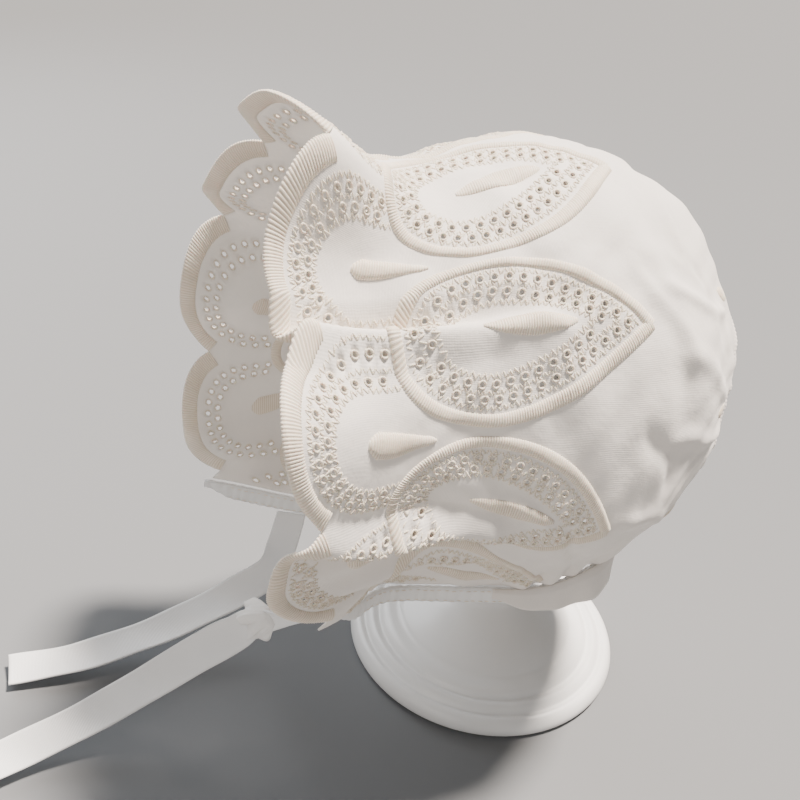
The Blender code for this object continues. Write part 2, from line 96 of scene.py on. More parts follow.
# Pull of the soft rim. Columns: arc / SCALLOP, then x, y, z / SCALLOP
RIM_PULL = np.array([
    (-4.00, 0.158, 0.250, 0.100), (-3.51, 0.178, -0.060, 0.020), (-3.00, 0.039, 0.000, -0.197),
    (-2.50, -0.039, -0.059, -0.118), (-1.99, 0.079, -0.039, -0.138), (-1.50, -0.079, -0.020, -0.020),
    (-0.99, 0.099, 0.020, -0.178), (-0.49, 0.079, 0.020, -0.039), (0.00, 0.079, 0.020, 0.020),
    (0.24, 0.099, 0.039, 0.158), (0.49, 0.138, 0.079, 0.197), (0.99, -0.118, 0.000, -0.158),
    (1.50, -0.138, -0.059, -0.118), (1.99, 0.059, -0.020, -0.059), (2.50, 0.059, -0.020, -0.059),
    (3.00, 0.000, 0.000, -0.118), (3.51, 0.118, 0.200, -0.040), (4.00, 0.118, 0.250, 0.000)])
# Slide of the cloth round the arch. Columns: arc, then slide at the rim, root and back / SCALLOP
SLIDE = np.array([
    (0.00, 0.000, 0.000, 0.000), (0.50, 0.000, 0.079, -0.110), (0.90, 0.000, 0.070, 0.050),
    (1.12, 0.000, 0.020, 0.000), (1.50, 0.000, 0.039, -0.020), (2.00, 0.000, 0.158, 0.118),
    (2.50, 0.039, 0.099, 0.296), (3.00, 0.000, -0.039, 0.237), (3.50, 0.000, 0.000, 0.059),
    (4.25, 0.000, 0.000, 0.000)])
# Folds. Columns: arc at the rim, root and back / SCALLOP, half width, lean and lift / SCALLOP,
# then start, fullest and end depth / CLOTH_DEPTH
FOLDS = np.array([
    (1.46, 1.44, 1.40, 0.217, -0.118, 0.089, -0.044, 0.035, 0.518),
    (2.62, 2.80, 2.82, 0.256, -0.138, -0.128, -0.044, 0.184, 0.461),
    (3.25, 3.31, 3.25, 0.197, -0.079, -0.079, 0.022, 0.197, 0.395)])
# Petals stand between the scallops. Arc of each / SCALLOP, then head, tip and half width
PETALS = (-3.5, -2.5, -1.5, -0.5, 0.5, 1.5, 2.5, 3.5)
PETAL_HEAD = 0.038
PETAL_TIP = 0.118
PETAL_HALF = 0.0222
PETAL_WIDEST = 0.36          # share of its length from the head
# Ties, from the neck band on. Columns: x, y, z of the middle / TIE_LENGTH, then the width line
TIE_NEAR = np.array([
    (0.218, -0.681, 0.426, 0.45, 0.40, -0.80), (0.177, -0.727, 0.359, 0.55, 0.30, -0.76),
    (0.135, -0.793, 0.276, 0.66, 0.22, -0.70), (0.106, -0.876, 0.192, 0.76, 0.15, -0.60),
    (0.092, -0.963, 0.125, 0.84, 0.08, -0.50), (0.090, -1.051, 0.077, 0.90, 0.03, -0.42),
    (0.099, -1.139, 0.050, 0.94, 0.00, -0.34), (0.117, -1.224, 0.038, 0.96, 0.00, -0.28),
    (0.151, -1.345, 0.032, 0.97, 0.00, -0.24)])
TIE_FAR = np.array([
    (-0.125, -0.539, 0.314, 0.50, 0.74, -0.30), (-0.145, -0.557, 0.218, 0.56, 0.60, -0.35),
    (-0.155, -0.639, 0.154, 0.72, 0.35, -0.32), (-0.154, -0.733, 0.109, 0.86, 0.18, -0.26),
    (-0.148, -0.834, 0.076, 0.94, 0.08, -0.20), (-0.145, -0.933, 0.052, 0.97, 0.03, -0.16),
    (-0.141, -1.029, 0.038, 0.98, 0.00, -0.14), (-0.145, -1.110, 0.030, 0.98, 0.00, -0.12),
    (-0.151, -1.194, 0.026, 0.99, 0.00, -0.12)])
# Stand profiles. Columns: radius / FOOT_RADIUS, height / STAND_HEIGHT
FOOT = np.array([
    (0.960, 0.000), (1.000, 0.007), (1.000, 0.019), (0.975, 0.031), (0.940, 0.036), (0.905, 0.034),
    (0.880, 0.041), (0.845, 0.046), (0.800, 0.043), (0.775, 0.051), (0.735, 0.057), (0.660, 0.060),
    (0.620, 0.068), (0.560, 0.078), (0.460, 0.092), (0.340, 0.106), (0.240, 0.125), (0.200, 0.150)])
STEM = np.array([
    (0.180, 0.152), (0.165, 0.180), (0.155, 0.260), (0.155, 0.480), (0.165, 0.640), (0.200, 0.700),
    (0.240, 0.718), (0.240, 0.728)])
HEAD = np.array([
    (0.200, 0.730), (0.480, 0.752), (0.640, 0.790), (0.690, 0.835), (0.660, 0.885), (0.560, 0.940),
    (0.400, 0.978), (0.200, 0.996)])
# Soft creases. Columns: arc and depth of one end, of the other end, half width, height, in mm
CREASES = np.array([
    (20, 122, 62, 150, 3.0, 0.7), (35, 128, 84, 168, 3.5, -0.6), (52, 112, 92, 140, 3.0, 0.6),
    (66, 120, 60, 172, 2.6, 0.7), (80, 126, 96, 176, 3.2, 0.8), (96, 118, 122, 150, 3.0, -0.7),
    (104, 130, 112, 178, 2.6, 0.7), (120, 122, 140, 160, 3.0, 0.8), (128, 96, 150, 128, 2.6, -0.6),
    (-30, 120, -64, 158, 3.0, 0.7), (-58, 116, -90, 168, 3.2, -0.7), (-96, 124, -118, 172, 3.0, 0.8),
    (-120, 110, -142, 158, 2.8, 0.7), (4, 122, -10, 170, 3.0, 0.6), (-14, 130, 30, 176, 2.6, -0.6),
    (24, 66, 27, 100, 2.0, -0.5), (76, 62, 78, 96, 2.0, 0.5), (124, 66, 130, 104, 2.2, 0.5)])
# Soft swells. Columns: arc, depth, half width and height, in mm
SWELLS = np.array([
    (26, 154, 17, 3.4), (98, 183, 17, -2.0), (46, 150, 13, -0.9), (76, 140, 12, 1.0), (112, 142, 12, -1.0)])

# Form of the cloth beyond its tables
SIDE_TURN = 1.75             # angle from the top past which the lower sides draw in
SIDE_DRAW = 0.22             # share of the half width that they lose
LEAN_DEPTH = 0.085           # depth at which the lower back starts to lean
SOFT_RIM = 0.012             # depth from which the pull of the rim fades
BRIM_ROOT = 0.040            # depth of the crease between the brim and the crown
FOLD_MIDDLE = 0.197          # depth / CLOTH_DEPTH of the middle point of a fold's line
GATHER_HEIGHT = 0.0011       # gathers along the neckline
GATHER_PITCH = 0.017
GATHER_REACH = 0.030         # how far up from the neckline they run
GATHER_DEPTH = 0.085         # depth at which they start
WRINKLE_HEIGHT = 0.00034     # slow waves all over the cloth
CREASE_GAIN = 1.8            # the creases' heights are taken this many times
SEAM_PUCKER = 0.00022        # small puckers at the back seam
SEAM_PITCH = 0.0126
SMALL_STEP = 0.0005          # step for slopes of the folded cloth
# Embroidery on the flat cloth
ROW_MARGIN = 0.004           # eyelet rows keep this far from the cloth's edges
ROW_HALF = 0.0235            # half width of the field of one scallop
SCALLOP_ROWS = (0.0202, 0.0166)                      # radii of the eyelet rows
SCALLOP_BORDERS = (0.0222, 0.0184, 0.0146)           # radii of the stitches between them
PETAL_ROWS = (0.0054, 0.0091)                        # insets of the eyelet rows
PETAL_BORDERS = (0.0034, 0.0072, 0.0112)             # insets of the stitches between them
STITCH_HALF = (0.0013, 0.0013, 0.0015)               # half length of a stitch in each border
CLEAR_OF_PETAL = (0.0036, 0.0026)                    # rows, then borders, off a petal's outline
EYELET_GAP = 0.0027          # least distance between the middles of two eyelets
SATIN_RISE = 0.00105         # height of the satin edge and outlines above the cloth
SEED = (0.029, 0.0034, 0.0014)                       # length, half width and rise of a petal's seed
BAR = (0.023, 0.0042, 0.0016)                        # the same of the bar in a scallop
BAR_DEPTH = 0.0385
DOT = (0.0085, 0.0034, 0.0008)                       # the same of a dot by the back seam
DOT_DEPTH = 0.1660
# Neck band, as it lies below the neckline
BAND_DROP = 0.0012           # from the neckline to the top of the band
BAND_GROW = 0.034            # run over which the near end grows to its full height
TIE_CLEAR = 0.0008           # from the band to the root of a tie
TUFT_RUN = 0.034             # place of the gathered tuft along the near tie
TUFT_COLOUR = (0.925, 0.910, 0.890)
FLOOR_CLEAR = 0.0003         # the middle of a tie's ribbon lies this high
FLOOR_LEAST = 0.0002         # and nothing of it lower than this
PUCKERS = 88                 # small waves along the neck band
BAND_STITCH = 0.00085        # half length of a stitch on the band
RUFFLE_START = 0.20          # share of the neckline without a ruffle at each end
WAVE_UNIT = 0.31416          # scale of a wave texture whose period is one metre
# Camera
CAMERA_ANGLES = (65.0, 32.0, 7.8)                    # turn from the front, rise and roll in degrees
CAMERA_REACH = 0.347
CAMERA_AIM = np.array([-0.004, -0.050, 0.1213])

# Angle from the top of the brim's oval, and the arc from the top to it
SHELF = np.linspace(0, np.pi, 400)
ARC = np.concatenate([[0], np.cumsum(np.hypot(
    np.diff(BRIM_WIDTH / 2 * np.sin(SHELF)), np.diff(BRIM_HEIGHT / 2 * np.cos(SHELF))))])


# ---------------------------------------------------------------- shape of the cloth

def unit(vectors):
    """Vectors divided by their lengths."""
    return vectors / np.linalg.norm(vectors, axis=-1, keepdims=True)


def circle(count):
    """Angles at even steps round a full turn."""
    return 2 * np.pi * np.arange(count) / count


def ease(u):
    """Smooth step from 0 to 1: 3u^2 - 2u^3."""
    u = np.clip(u, 0, 1)
    return u * u * (3 - 2 * u)


def smooth(xs, ys, x):
    """Cubic through a table's points, with the slope of their neighbours."""
    x = np.clip(x, xs[0], xs[-1])
    slope = np.gradient(ys, xs)
    i = np.clip(np.searchsorted(xs, x, side="right") - 1, 0, len(xs) - 2)
    h = xs[i + 1] - xs[i]
    u = (x - xs[i]) / h
    return ((2 * u**3 - 3 * u**2 + 1) * ys[i] + (u**3 - 2 * u**2 + u) * h * slope[i]
            + (3 * u**2 - 2 * u**3) * ys[i + 1] + (u**3 - u**2) * h * slope[i + 1])


def form(depth, column):
    """One column of FORM at these depths, in metres."""
    size = (CLOTH_DEPTH, HAT_DEPTH, BRIM_WIDTH, BRIM_HEIGHT, BRIM_HEIGHT)[column]
    return size * smooth(FORM[:, 0], FORM[:, column], depth / CLOTH_DEPTH)


def neck_arc(depth):
    """Arc at which the cloth ends: where the oval comes down to the neckline's height."""
    depth = np.minimum(depth, SEAM_DEPTH)
    height = BRIM_HEIGHT * np.interp(depth / CLOTH_DEPTH, NECKLINE[:, 0], NECKLINE[:, 1])
    angle = np.arccos(np.clip((height - form(depth, 4)) / form(depth, 3), -1, 1))
    return np.interp(np.minimum(angle, 3.10), SHELF, ARC)


def arch(arc, depth):
    """Oval form before folds: x = half width sin a, z = middle + half height cos a.  The
    lower sides draw in, the lower back leans forward, and the rim is pulled."""
    angle = np.sign(arc) * np.interp(np.abs(arc), ARC, SHELF)
    end = np.interp(neck_arc(depth), ARC, SHELF)
    low = ease((np.abs(angle) - SIDE_TURN) / np.maximum(end - SIDE_TURN, 0.2))
    draw = 1 - (SIDE_DRAW * low * np.clip((SEAM_DEPTH - depth) / 0.04, 0, 1)
                * np.clip((depth + 0.01) / 0.06, 0, 1))
    lean = (BACK_LEAN * form(depth, 3) * ease((0.6 - np.cos(angle)) / 1.2)
            * ease((depth - LEAN_DEPTH) / 0.075))
    points = np.stack([form(depth, 2) * np.sin(angle) * draw, form(depth, 1) - lean,
                       form(depth, 4) + form(depth, 3) * np.cos(angle)], -1)
    soft = 1 - ease((depth - SOFT_RIM) / 0.048)
    for k in range(3):
        points[..., k] += soft * SCALLOP * smooth(RIM_PULL[:, 0], RIM_PULL[:, k + 1], arc / SCALLOP)
    return points


def slide(arc, depth):
    """Arc after the cloth has slid round the arch: SLIDE's three columns, eased from the
    rim to the brim's root and on to the crown."""
    side = np.abs(arc) / SCALLOP
    rim, root, back = (smooth(SLIDE[:, 0], SLIDE[:, k], side) for k in (1, 2, 3))
    u, v = ease(depth / BRIM_ROOT), ease((depth - BRIM_ROOT) / 0.078)
    move = (rim * (1 - u) + root * u) * (1 - v) + back * v
    return arc + np.sign(arc) * SCALLOP * move * (1 - ease((depth - 0.130) / 0.045))


def folded(arc, depth):
    """The arch with each fold's sine wave pushed along the arc and outward, and with
    gathers, sine waves in depth, along the neckline."""
    slid, e = slide(arc, depth), SMALL_STEP
    points = arch(slid, depth)
    along = unit(arch(slid + e, depth) - arch(slid - e, depth))
    out = unit(np.cross(along, arch(slid, depth + e) - arch(slid, depth - e)))
    t = depth / CLOTH_DEPTH
    for *arcs, half, lean, lift, first, full, last in FOLDS:
        line = smooth(np.array([first, FOLD_MIDDLE, last]), np.array(arcs), t)
        u = np.clip((arc / SCALLOP - line) / half, -1, 1)
        grow, fade = ease((t - first) / (full - first)), 1 - ease((t - full) / (last - full))
        amount = np.where(t < full, grow, fade)
        wave = np.sin(np.pi * u) * (1 - u**4) * amount * SCALLOP
        points = points + wave[..., None] * (lean * along + lift * out)
    near_neck = ease((np.abs(arc) - neck_arc(depth) + GATHER_REACH) / GATHER_REACH)
    gather = near_neck * ease((depth - GATHER_DEPTH) / 0.03)
    wave = (GATHER_HEIGHT * gather * np.sin(2 * np.pi * depth / GATHER_PITCH)
            * (1 - ease((depth - 0.165) / 0.015)))
    return points + wave[..., None] * out


def crumple(arc, depth):
    """Height of small wrinkles: slow waves all over, crease ridges
    exp(-(distance / width)^2) that fade at their ends, round swells of the same curve, and
    puckers at the back seam."""
    rise = WRINKLE_HEIGHT * (np.sin(arc * 310 + 2.1 * np.sin(depth * 120)) * np.sin(depth * 260 + arc * 90)
                             + np.sin(arc * 170 - depth * 230 + 1.3)) * ease((depth - 0.02) / 0.04)
    for a0, d0, a1, d1, width, height in CREASES * 0.001:
        start = np.array([a0, d0])
        run = np.array([a1, d1]) - start
        size = np.hypot(*run)
        t = ((arc - a0) * run[0] + (depth - d0) * run[1]) / size**2
        off = ((arc - a0) * run[1] - (depth - d0) * run[0]) / size
        off = off + 0.0022 * np.sin(t * 7 + a0 * 300)
        rise = rise + (CREASE_GAIN * height * np.exp(-(off / width)**2)
                       * ease(t / 0.25) * ease((1 - t) / 0.25))
    for a0, d0, wide, high in SWELLS * 0.001:
        rise = rise + high * np.exp(-((arc - a0)**2 + (depth - d0)**2) / wide**2)
    seam = np.exp(-((depth - SEAM_DEPTH) / 0.012)**2)
    return rise + SEAM_PUCKER * seam * np.sin(arc * 2 * np.pi / SEAM_PITCH + 1.7 * np.sin(arc * 61))


def tip_hat(points):
    """Lean the hat on its stand: pitch, then roll, about its pivot."""
    (cos_p, cos_r), (sin_p, sin_r) = np.cos(HAT_TIP), np.sin(HAT_TIP)
    pitch = np.array([[1, 0, 0], [0, cos_p, -sin_p], [0, sin_p, cos_p]])
    roll = np.array([[cos_r, 0, sin_r], [0, 1, 0], [-sin_r, 0, cos_r]])
    return (points - HAT_PIVOT) @ (roll @ pitch).T + HAT_PIVOT


def lay(arc, depth, height=0.0):
    """Frame point of the flat cloth: the folded form moved along its normal by the
    crumple and the height."""
    arc, depth, height = np.broadcast_arrays(*(np.asarray(v, float) for v in (arc, depth, height)))
    e = 0.0004
    normal = np.cross(folded(arc + e, depth) - folded(arc - e, depth),
                      folded(arc, depth + e) - folded(arc, depth - e))
    normal /= np.maximum(np.linalg.norm(normal, axis=-1, keepdims=True), 1e-12)
    return tip_hat(folded(arc, depth) + (height + crumple(arc, depth))[..., None] * normal)


def rim(arc):
    """Depth of the scalloped edge: circles of SCALLOP_RADIUS at each scallop."""
    u = arc - SCALLOP * np.round(arc / SCALLOP)
    return SCALLOP_RADIUS - np.sqrt(SCALLOP_RADIUS**2 - u * u)


def neck_corner():
    """Arc at which the scalloped edge meets the neckline, by going to and fro between
    them."""
    corner = 3.7 * SCALLOP
    for _ in range(30):
        corner = float(neck_arc(rim(np.array(corner))))
    return corner


# ---------------------------------------------------------------- flat pattern

def run_along(path):
    """Distance of each point of a polyline from its start: the sum of the steps."""
    return np.concatenate([[0], np.cumsum(np.linalg.norm(np.diff(path, axis=0), axis=1))])


def walk(path, step):
    """Points of a polyline at even steps along it, and their distance along it."""
    length = run_along(path)
    count = max(int(round(length[-1] / step)), 2)
    even = np.linspace(0, length[-1], count + 1)
    return np.stack([np.interp(even, length, path[:, k]) for k in range(path.shape[1])], 1), even


def inside(points, loop):
    """Which points lie inside a closed loop, by counting crossings to the right."""
    a, b = loop[None], np.roll(loop, -1, axis=0)[None]
    x, y = points[:, :1], points[:, 1:]
    spans = (a[..., 1] > y) != (b[..., 1] > y)
    slope = np.where(b[..., 1] == a[..., 1], 1.0, b[..., 1] - a[..., 1])
    crossing = (b[..., 0] - a[..., 0]) * (y - a[..., 1]) / slope + a[..., 0]
    return np.sum(spans & (x < crossing), 1) % 2 == 1


def nearest(points, others):
    """Distance from each point to the nearest of the others."""
    best = np.full(len(points), 9.0)
    for part in np.array_split(np.asarray(others, float), max(len(others) // 200, 1)):
        apart = np.hypot(points[:, :1] - part[:, 0], points[:, 1:] - part[:, 1])
        best = np.minimum(best, apart.min(1))
    return best


def petal_path(base, inset=0.0):
    """Outline of a petal from its tip round the head: a round head, then sides that
    narrow as 1 - u^1.8.  An inset path keeps that distance from the outline."""
    turn = np.linspace(0, np.pi / 2, 60)
    head = np.stack([PETAL_WIDEST * (1 - np.cos(turn)), np.sin(turn)], 1)
    u = np.linspace(0, 1, 90)[1:]
    side = np.concatenate([head, np.stack([PETAL_WIDEST + (1 - PETAL_WIDEST) * u, 1 - u**1.8], 1)])
    right = np.stack([side[:, 1] * PETAL_HALF, PETAL_HEAD + side[:, 0] * (PETAL_TIP - PETAL_HEAD)], 1)
    path = np.concatenate([right[::-1] * [-1, 1], right[1:]])
    path, _ = walk(path, 0.0006)
    if inset:
        ahead = unit(np.gradient(path, axis=0))
        moved = path + inset * np.stack([-ahead[:, 1], ahead[:, 0]], 1)
        path = moved[nearest(moved, path) > inset - 0.0002]
    return path + [base * SCALLOP, 0]


def scallop_row(k, radius):
    """Row round a scallop: an arc of this radius that runs on straight toward the crown."""
    turn = np.linspace(-np.pi / 2, np.pi / 2, 60)
    arc = np.stack([radius * np.sin(turn), SCALLOP_RADIUS - radius * np.cos(turn)], 1)
    end = SCALLOP_RADIUS + 0.030
    return np.concatenate([[[-radius, end]], arc, [[radius, end]]]) + [k * SCALLOP, 0]


def in_cloth(points, margin):
    """Which flat points lie on the cloth, this far from its edges."""
    a, d = points.T
    return (d > rim(a) + margin) & (np.abs(a) < neck_arc(d) - margin) & (d < SEAM_DEPTH - margin)


def band_rows(radii, insets, clear):
    """Paths round the scallops at these radii and inside the petals at these insets, as
    (path, place in its list).  Those round the scallops keep clear of the petals."""
    loops = [petal_path(b) for b in PETALS]
    outlines = np.concatenate([loop[::3] for loop in loops])
    found = []
    for k in range(-4, 5):
        for place, radius in enumerate(radii):
            path, _ = walk(scallop_row(k, radius), 0.0005)
            good = (nearest(path, outlines) > clear) & in_cloth(path, ROW_MARGIN)
            for loop in loops:
                good &= ~inside(path, loop[::4])
            good &= np.abs(path[:, 0] - k * SCALLOP) < ROW_HALF
            found.append((path[good], place))
    for b in PETALS:
        for place, inset in enumerate(insets):
            path = petal_path(b, inset)
            found.append((path[in_cloth(path, ROW_MARGIN)], place))
    return [(path, place) for path, place in found if len(path) > 6]


def split_runs(path, gap=0.003):
    """Split a path where it jumps."""
    jump = np.linalg.norm(np.diff(path, axis=0), axis=1) > gap
    return [p for p in np.split(path, np.nonzero(jump)[0] + 1) if len(p) > 5]


def eyelet_centres(spacing):
    """Middles of the eyelets: even steps along each row, every second row half a step
    on, without those too near an earlier one."""
    centres = []
    for n, (path, _) in enumerate(band_rows(SCALLOP_ROWS, PETAL_ROWS, CLEAR_OF_PETAL[0])):
        for run in split_runs(path):
            points, _ = walk(run, spacing)
            if n % 2:
                points = (points[:-1] + points[1:]) / 2
            centres.append(points)
    centres = np.concatenate(centres)
    keep = []
    for i, c in enumerate(centres):
        if all(np.hypot(*(c - centres[j])) > EYELET_GAP for j in keep):
            keep.append(i)
    return centres[keep]


def stretch(points):
    """How much longer a flat step is once laid: |dP/darc| and |dP/ddepth|, held between
    0.8 and 3."""
    a, d = points.T
    e = SMALL_STEP
    across = np.linalg.norm(lay(a + e, d) - lay(a - e, d), axis=-1) / (2 * e)
    along = np.linalg.norm(lay(a, d + e) - lay(a, d - e), axis=-1) / (2 * e)
    return np.clip(np.stack([across, along], 1), 0.8, 3)


def walled(outer, inner, tris):
    """Close a triangulated sheet between its outer and inner points: both sides, and a
    wall on each edge that only one triangle has."""
    n = len(outer)
    pairs = np.concatenate([tris[:, [0, 1]], tris[:, [1, 2]], tris[:, [2, 0]]])
    edge = pairs[~np.isin(pairs[:, 0] * n + pairs[:, 1], pairs[:, 1] * n + pairs[:, 0])]
    a, b = edge.T
    wall = np.concatenate([np.stack([b, a, a + n], 1), np.stack([b, a + n, b + n], 1)])
    return np.concatenate([outer, inner]), np.concatenate([tris, tris[:, ::-1] + n, wall])


# ---------------------------------------------------------------- meshes

def put_mesh(name, points, faces, mat, uv=None, body="root"):
    """Smooth shaded object from points and faces, with one UV per point."""
    mesh = bpy.data.meshes.new(name)
    mesh.from_pydata(np.asarray(points, float).tolist(), [], [list(map(int, f)) for f in faces])
    mesh.polygons.foreach_set("use_smooth", np.ones(len(mesh.polygons), bool))
    if uv is not None:
        layer = mesh.uv_layers.new(name="flat")
        corner = np.empty(len(mesh.loops), np.int32)
        mesh.loops.foreach_get("vertex_index", corner)
        layer.data.foreach_set("uv", np.asarray(uv, np.float32)[corner].ravel())
    mesh.materials.append(mat)
    mesh.update()
    piece = bpy.data.objects.new(name, mesh)
    bpy.context.scene.collection.objects.link(piece)
    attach(piece, body)
    return piece


def grid_faces(rows, cols, wrap=False):
    """Quads of a grid of points, rows first; wrap joins the last column to the first."""
    i, k = np.meshgrid(np.arange(rows - 1), np.arange(cols if wrap else cols - 1), indexing="ij")
    i, k = i.ravel(), k.ravel()
    j = (k + 1) % cols
    return np.stack([i * cols + k, i * cols + j, (i + 1) * cols + j, (i + 1) * cols + k], 1)


def split_quads(quads):
    """Two triangles for each quad."""
    return np.concatenate([quads[:, [0, 1, 2]], quads[:, [0, 2, 3]]])


def repeated(faces, count, size):
    """Faces of many copies of one small shape that has this many points."""
    return (faces[None] + (np.arange(count) * size)[:, None, None]).reshape(-1, faces.shape[1])


def tube_ends(rows, cols, start):
    """Fans that close a wrapped grid's two ends: end faces as triangles to a corner."""
    k = np.arange(1, cols - 1)
    first = np.stack([0 * k, k + 1, k], 1) + start
    last = np.stack([0 * k, k, k + 1], 1) + start + (rows - 1) * cols
    return np.concatenate([first, last])


def ridged(path, half, rise, under, pitch, sides):
    """Satin stitch along a flat path: an oval section, half wide, rise above the cloth
    and under below it, whose size swells once in each pitch of the path."""
    flat, run = walk(path, pitch / 4)
    ahead = unit(np.gradient(flat, axis=0))
    across = np.stack([-ahead[:, 1], ahead[:, 0]], 1)
    turn = circle(sides)
    stitch = np.round(run / pitch)
    own = np.sin(stitch * 12.9898) * 0.5 + np.sin(stitch * 4.137) * 0.5
    swell = (1 + 0.13 * np.cos(2 * np.pi * run / pitch) + 0.05 * own)[:, None]
    wide = half * (0.7 + 0.3 * swell) * np.sign(np.cos(turn)) * np.abs(np.cos(turn))**0.8
    tall = np.where(np.sin(turn) > 0, rise, under) * np.sin(turn) * swell
    arc = flat[:, :1] + across[:, :1] * wide
    depth = flat[:, 1:] + across[:, 1:] * wide
    uv = np.stack([np.broadcast_to(run[:, None], wide.shape), wide], -1).reshape(-1, 2)
    return arc.ravel(), depth.ravel(), tall.ravel(), uv, (len(flat), sides)


def embroider(name, strips, mat):
    """One object from many ridged strips of the flat cloth, with their ends closed."""
    faces, ends, start = [], [], 0
    for arc, _, _, _, (rows, cols) in strips:
        faces += (grid_faces(rows, cols, True) + start).tolist()
        ends += tube_ends(rows, cols, start).tolist()
        start += len(arc)
    arc, depth, tall, uv = (np.concatenate(column) for column in list(zip(*strips))[:4])
    return put_mesh(name, lay(arc, depth, tall), faces + ends, mat, uv)


def leaf_rows(middle, ahead, size, half, rise, pitch, sides=8, club=False):
    """Satin leaf: a ridged strip whose half width follows sin(pi t)^0.7.  A club has a
    round head, sqrt(t / 0.14) up to 1, and a tail that eases down to 0.38 of it."""
    path = middle + np.linspace(-0.5, 0.5, 40)[:, None] * size * ahead
    _, _, tall, uv, shape = ridged(path, 1.0, rise, rise * 0.5, pitch, sides)
    t = np.linspace(0, 1, shape[0])[:, None]
    if club:
        head = np.clip((t + 0.01) / 0.14, 0, 1) * np.clip((1.01 - t) / 0.1, 0, 1)
        belly = np.sqrt(head) * (1 - 0.62 * ease((t - 0.3) / 0.7))
        width = half * belly
    else:
        belly = np.clip(np.sin(np.pi * (0.04 + 0.92 * t)), 0, 1)
        width = half * belly**0.7
    flat, _ = walk(path, pitch / 4)
    wide = uv[:, 1].reshape(shape) * width
    arc = flat[:, :1] - ahead[1] * wide
    depth = flat[:, 1:] + ahead[0] * wide
    tall = tall.reshape(shape) * (0.35 + 0.65 * belly)
    return arc.ravel(), depth.ravel(), tall.ravel(), np.stack([uv[:, 0], wide.ravel()], 1), shape


def strip_box(middle, wide, thick, sides, square):
    """Closed band along a path: a rounded section cos^s, sin^s on its width and thickness."""
    turn = circle(sides)
    c = np.sign(np.cos(turn)) * np.abs(np.cos(turn))**square
    s = np.sign(np.sin(turn)) * np.abs(np.sin(turn))**square
    points = middle[:, None] + wide[:, None] * c[:, None] + thick[:, None] * s[:, None]
    faces = grid_faces(len(middle), sides, True).tolist() + tube_ends(len(middle), sides, 0).tolist()
    return points.reshape(-1, 3), faces


def turned_inside_out(points, faces):
    """Whether a closed mesh faces inward: the sum of its corners' triple products, six
    times its volume, is below zero."""
    tris = np.array([[f[0], f[k], f[k + 1]] for f in faces for k in range(1, len(f) - 1)])
    a, b, c = (points[tris[:, k]] for k in range(3))
    return np.sum(np.cross(a, b) * c) < 0


def closed_piece(name, points, faces, mat, uv=None):
    """Object from a closed mesh, turned the right way out."""
    if turned_inside_out(points, faces):
        faces = [f[::-1] for f in faces]
    return put_mesh(name, points, faces, mat, uv)


# ---------------------------------------------------------------- materials

def new_material(name, colour, roughness, **sockets):
    """Principled material with its constant values on the shader's own sockets."""
    mat = bpy.data.materials.new(name)
    mat.use_nodes = True
    shader = mat.node_tree.nodes["Principled BSDF"]
    shader.inputs["Base Color"].default_value = (*colour, 1)
    shader.inputs["Roughness"].default_value = roughness
    for key, value in sockets.items():
        shader.inputs[key.replace("_", " ")].default_value = value
    return mat, mat.node_tree, shader


def tint(tree, shader, dark, light, scale):
    """Slow change between two near colours from noise."""
    coord = tree.nodes.new("ShaderNodeTexCoord")
    noise = tree.nodes.new("ShaderNodeTexNoise")
    noise.inputs["Scale"].default_value = scale
    noise.inputs["Detail"].default_value = 4
    ramp = tree.nodes.new("ShaderNodeValToRGB")
    for stop, place, colour in zip(ramp.color_ramp.elements, (0.35, 0.65), (dark, light)):
        stop.position = place
        stop.color = (*colour, 1)
    tree.links.new(coord.outputs["Object"], noise.inputs["Vector"])
    tree.links.new(noise.outputs["Fac"], ramp.inputs["Fac"])
    tree.links.new(ramp.outputs["Color"], shader.inputs["Base Color"])
    return coord, ramp


def add_bump(tree, texture, strength, distance, before):
    """Bump from a texture's value, chained after another bump."""
    bump = tree.nodes.new("ShaderNodeBump")
    bump.inputs["Strength"].default_value = strength
    bump.inputs["Distance"].default_value = distance
    tree.links.new(texture.outputs["Fac"], bump.inputs["Height"])
    if before is not None:
        tree.links.new(before.outputs["Normal"], bump.inputs["Normal"])
    return bump


def wave_bump(tree, coord, turn, period, distort, strength, distance, before=None):
    """Bump from even bands on the flat coordinates, turned in their plane."""
    mapping = tree.nodes.new("ShaderNodeMapping")
    mapping.inputs["Rotation"].default_value = (0, 0, turn)
    wave = tree.nodes.new("ShaderNodeTexWave")
    wave.inputs["Scale"].default_value = WAVE_UNIT / period
    wave.inputs["Distortion"].default_value = distort
    wave.inputs["Detail"].default_value = 1
    tree.links.new(coord.outputs["UV"], mapping.inputs["Vector"])
    tree.links.new(mapping.outputs["Vector"], wave.inputs["Vector"])
    return add_bump(tree, wave, strength, distance, before)


def noise_bump(tree, coord, scale, strength, distance, before=None):
    """Bump from noise on the piece's own coordinates."""
    noise = tree.nodes.new("ShaderNodeTexNoise")
    noise.inputs["Scale"].default_value = scale
    noise.inputs["Detail"].default_value = 3
    tree.links.new(coord.outputs["Object"], noise.inputs["Vector"])
    return add_bump(tree, noise, strength, distance, before)


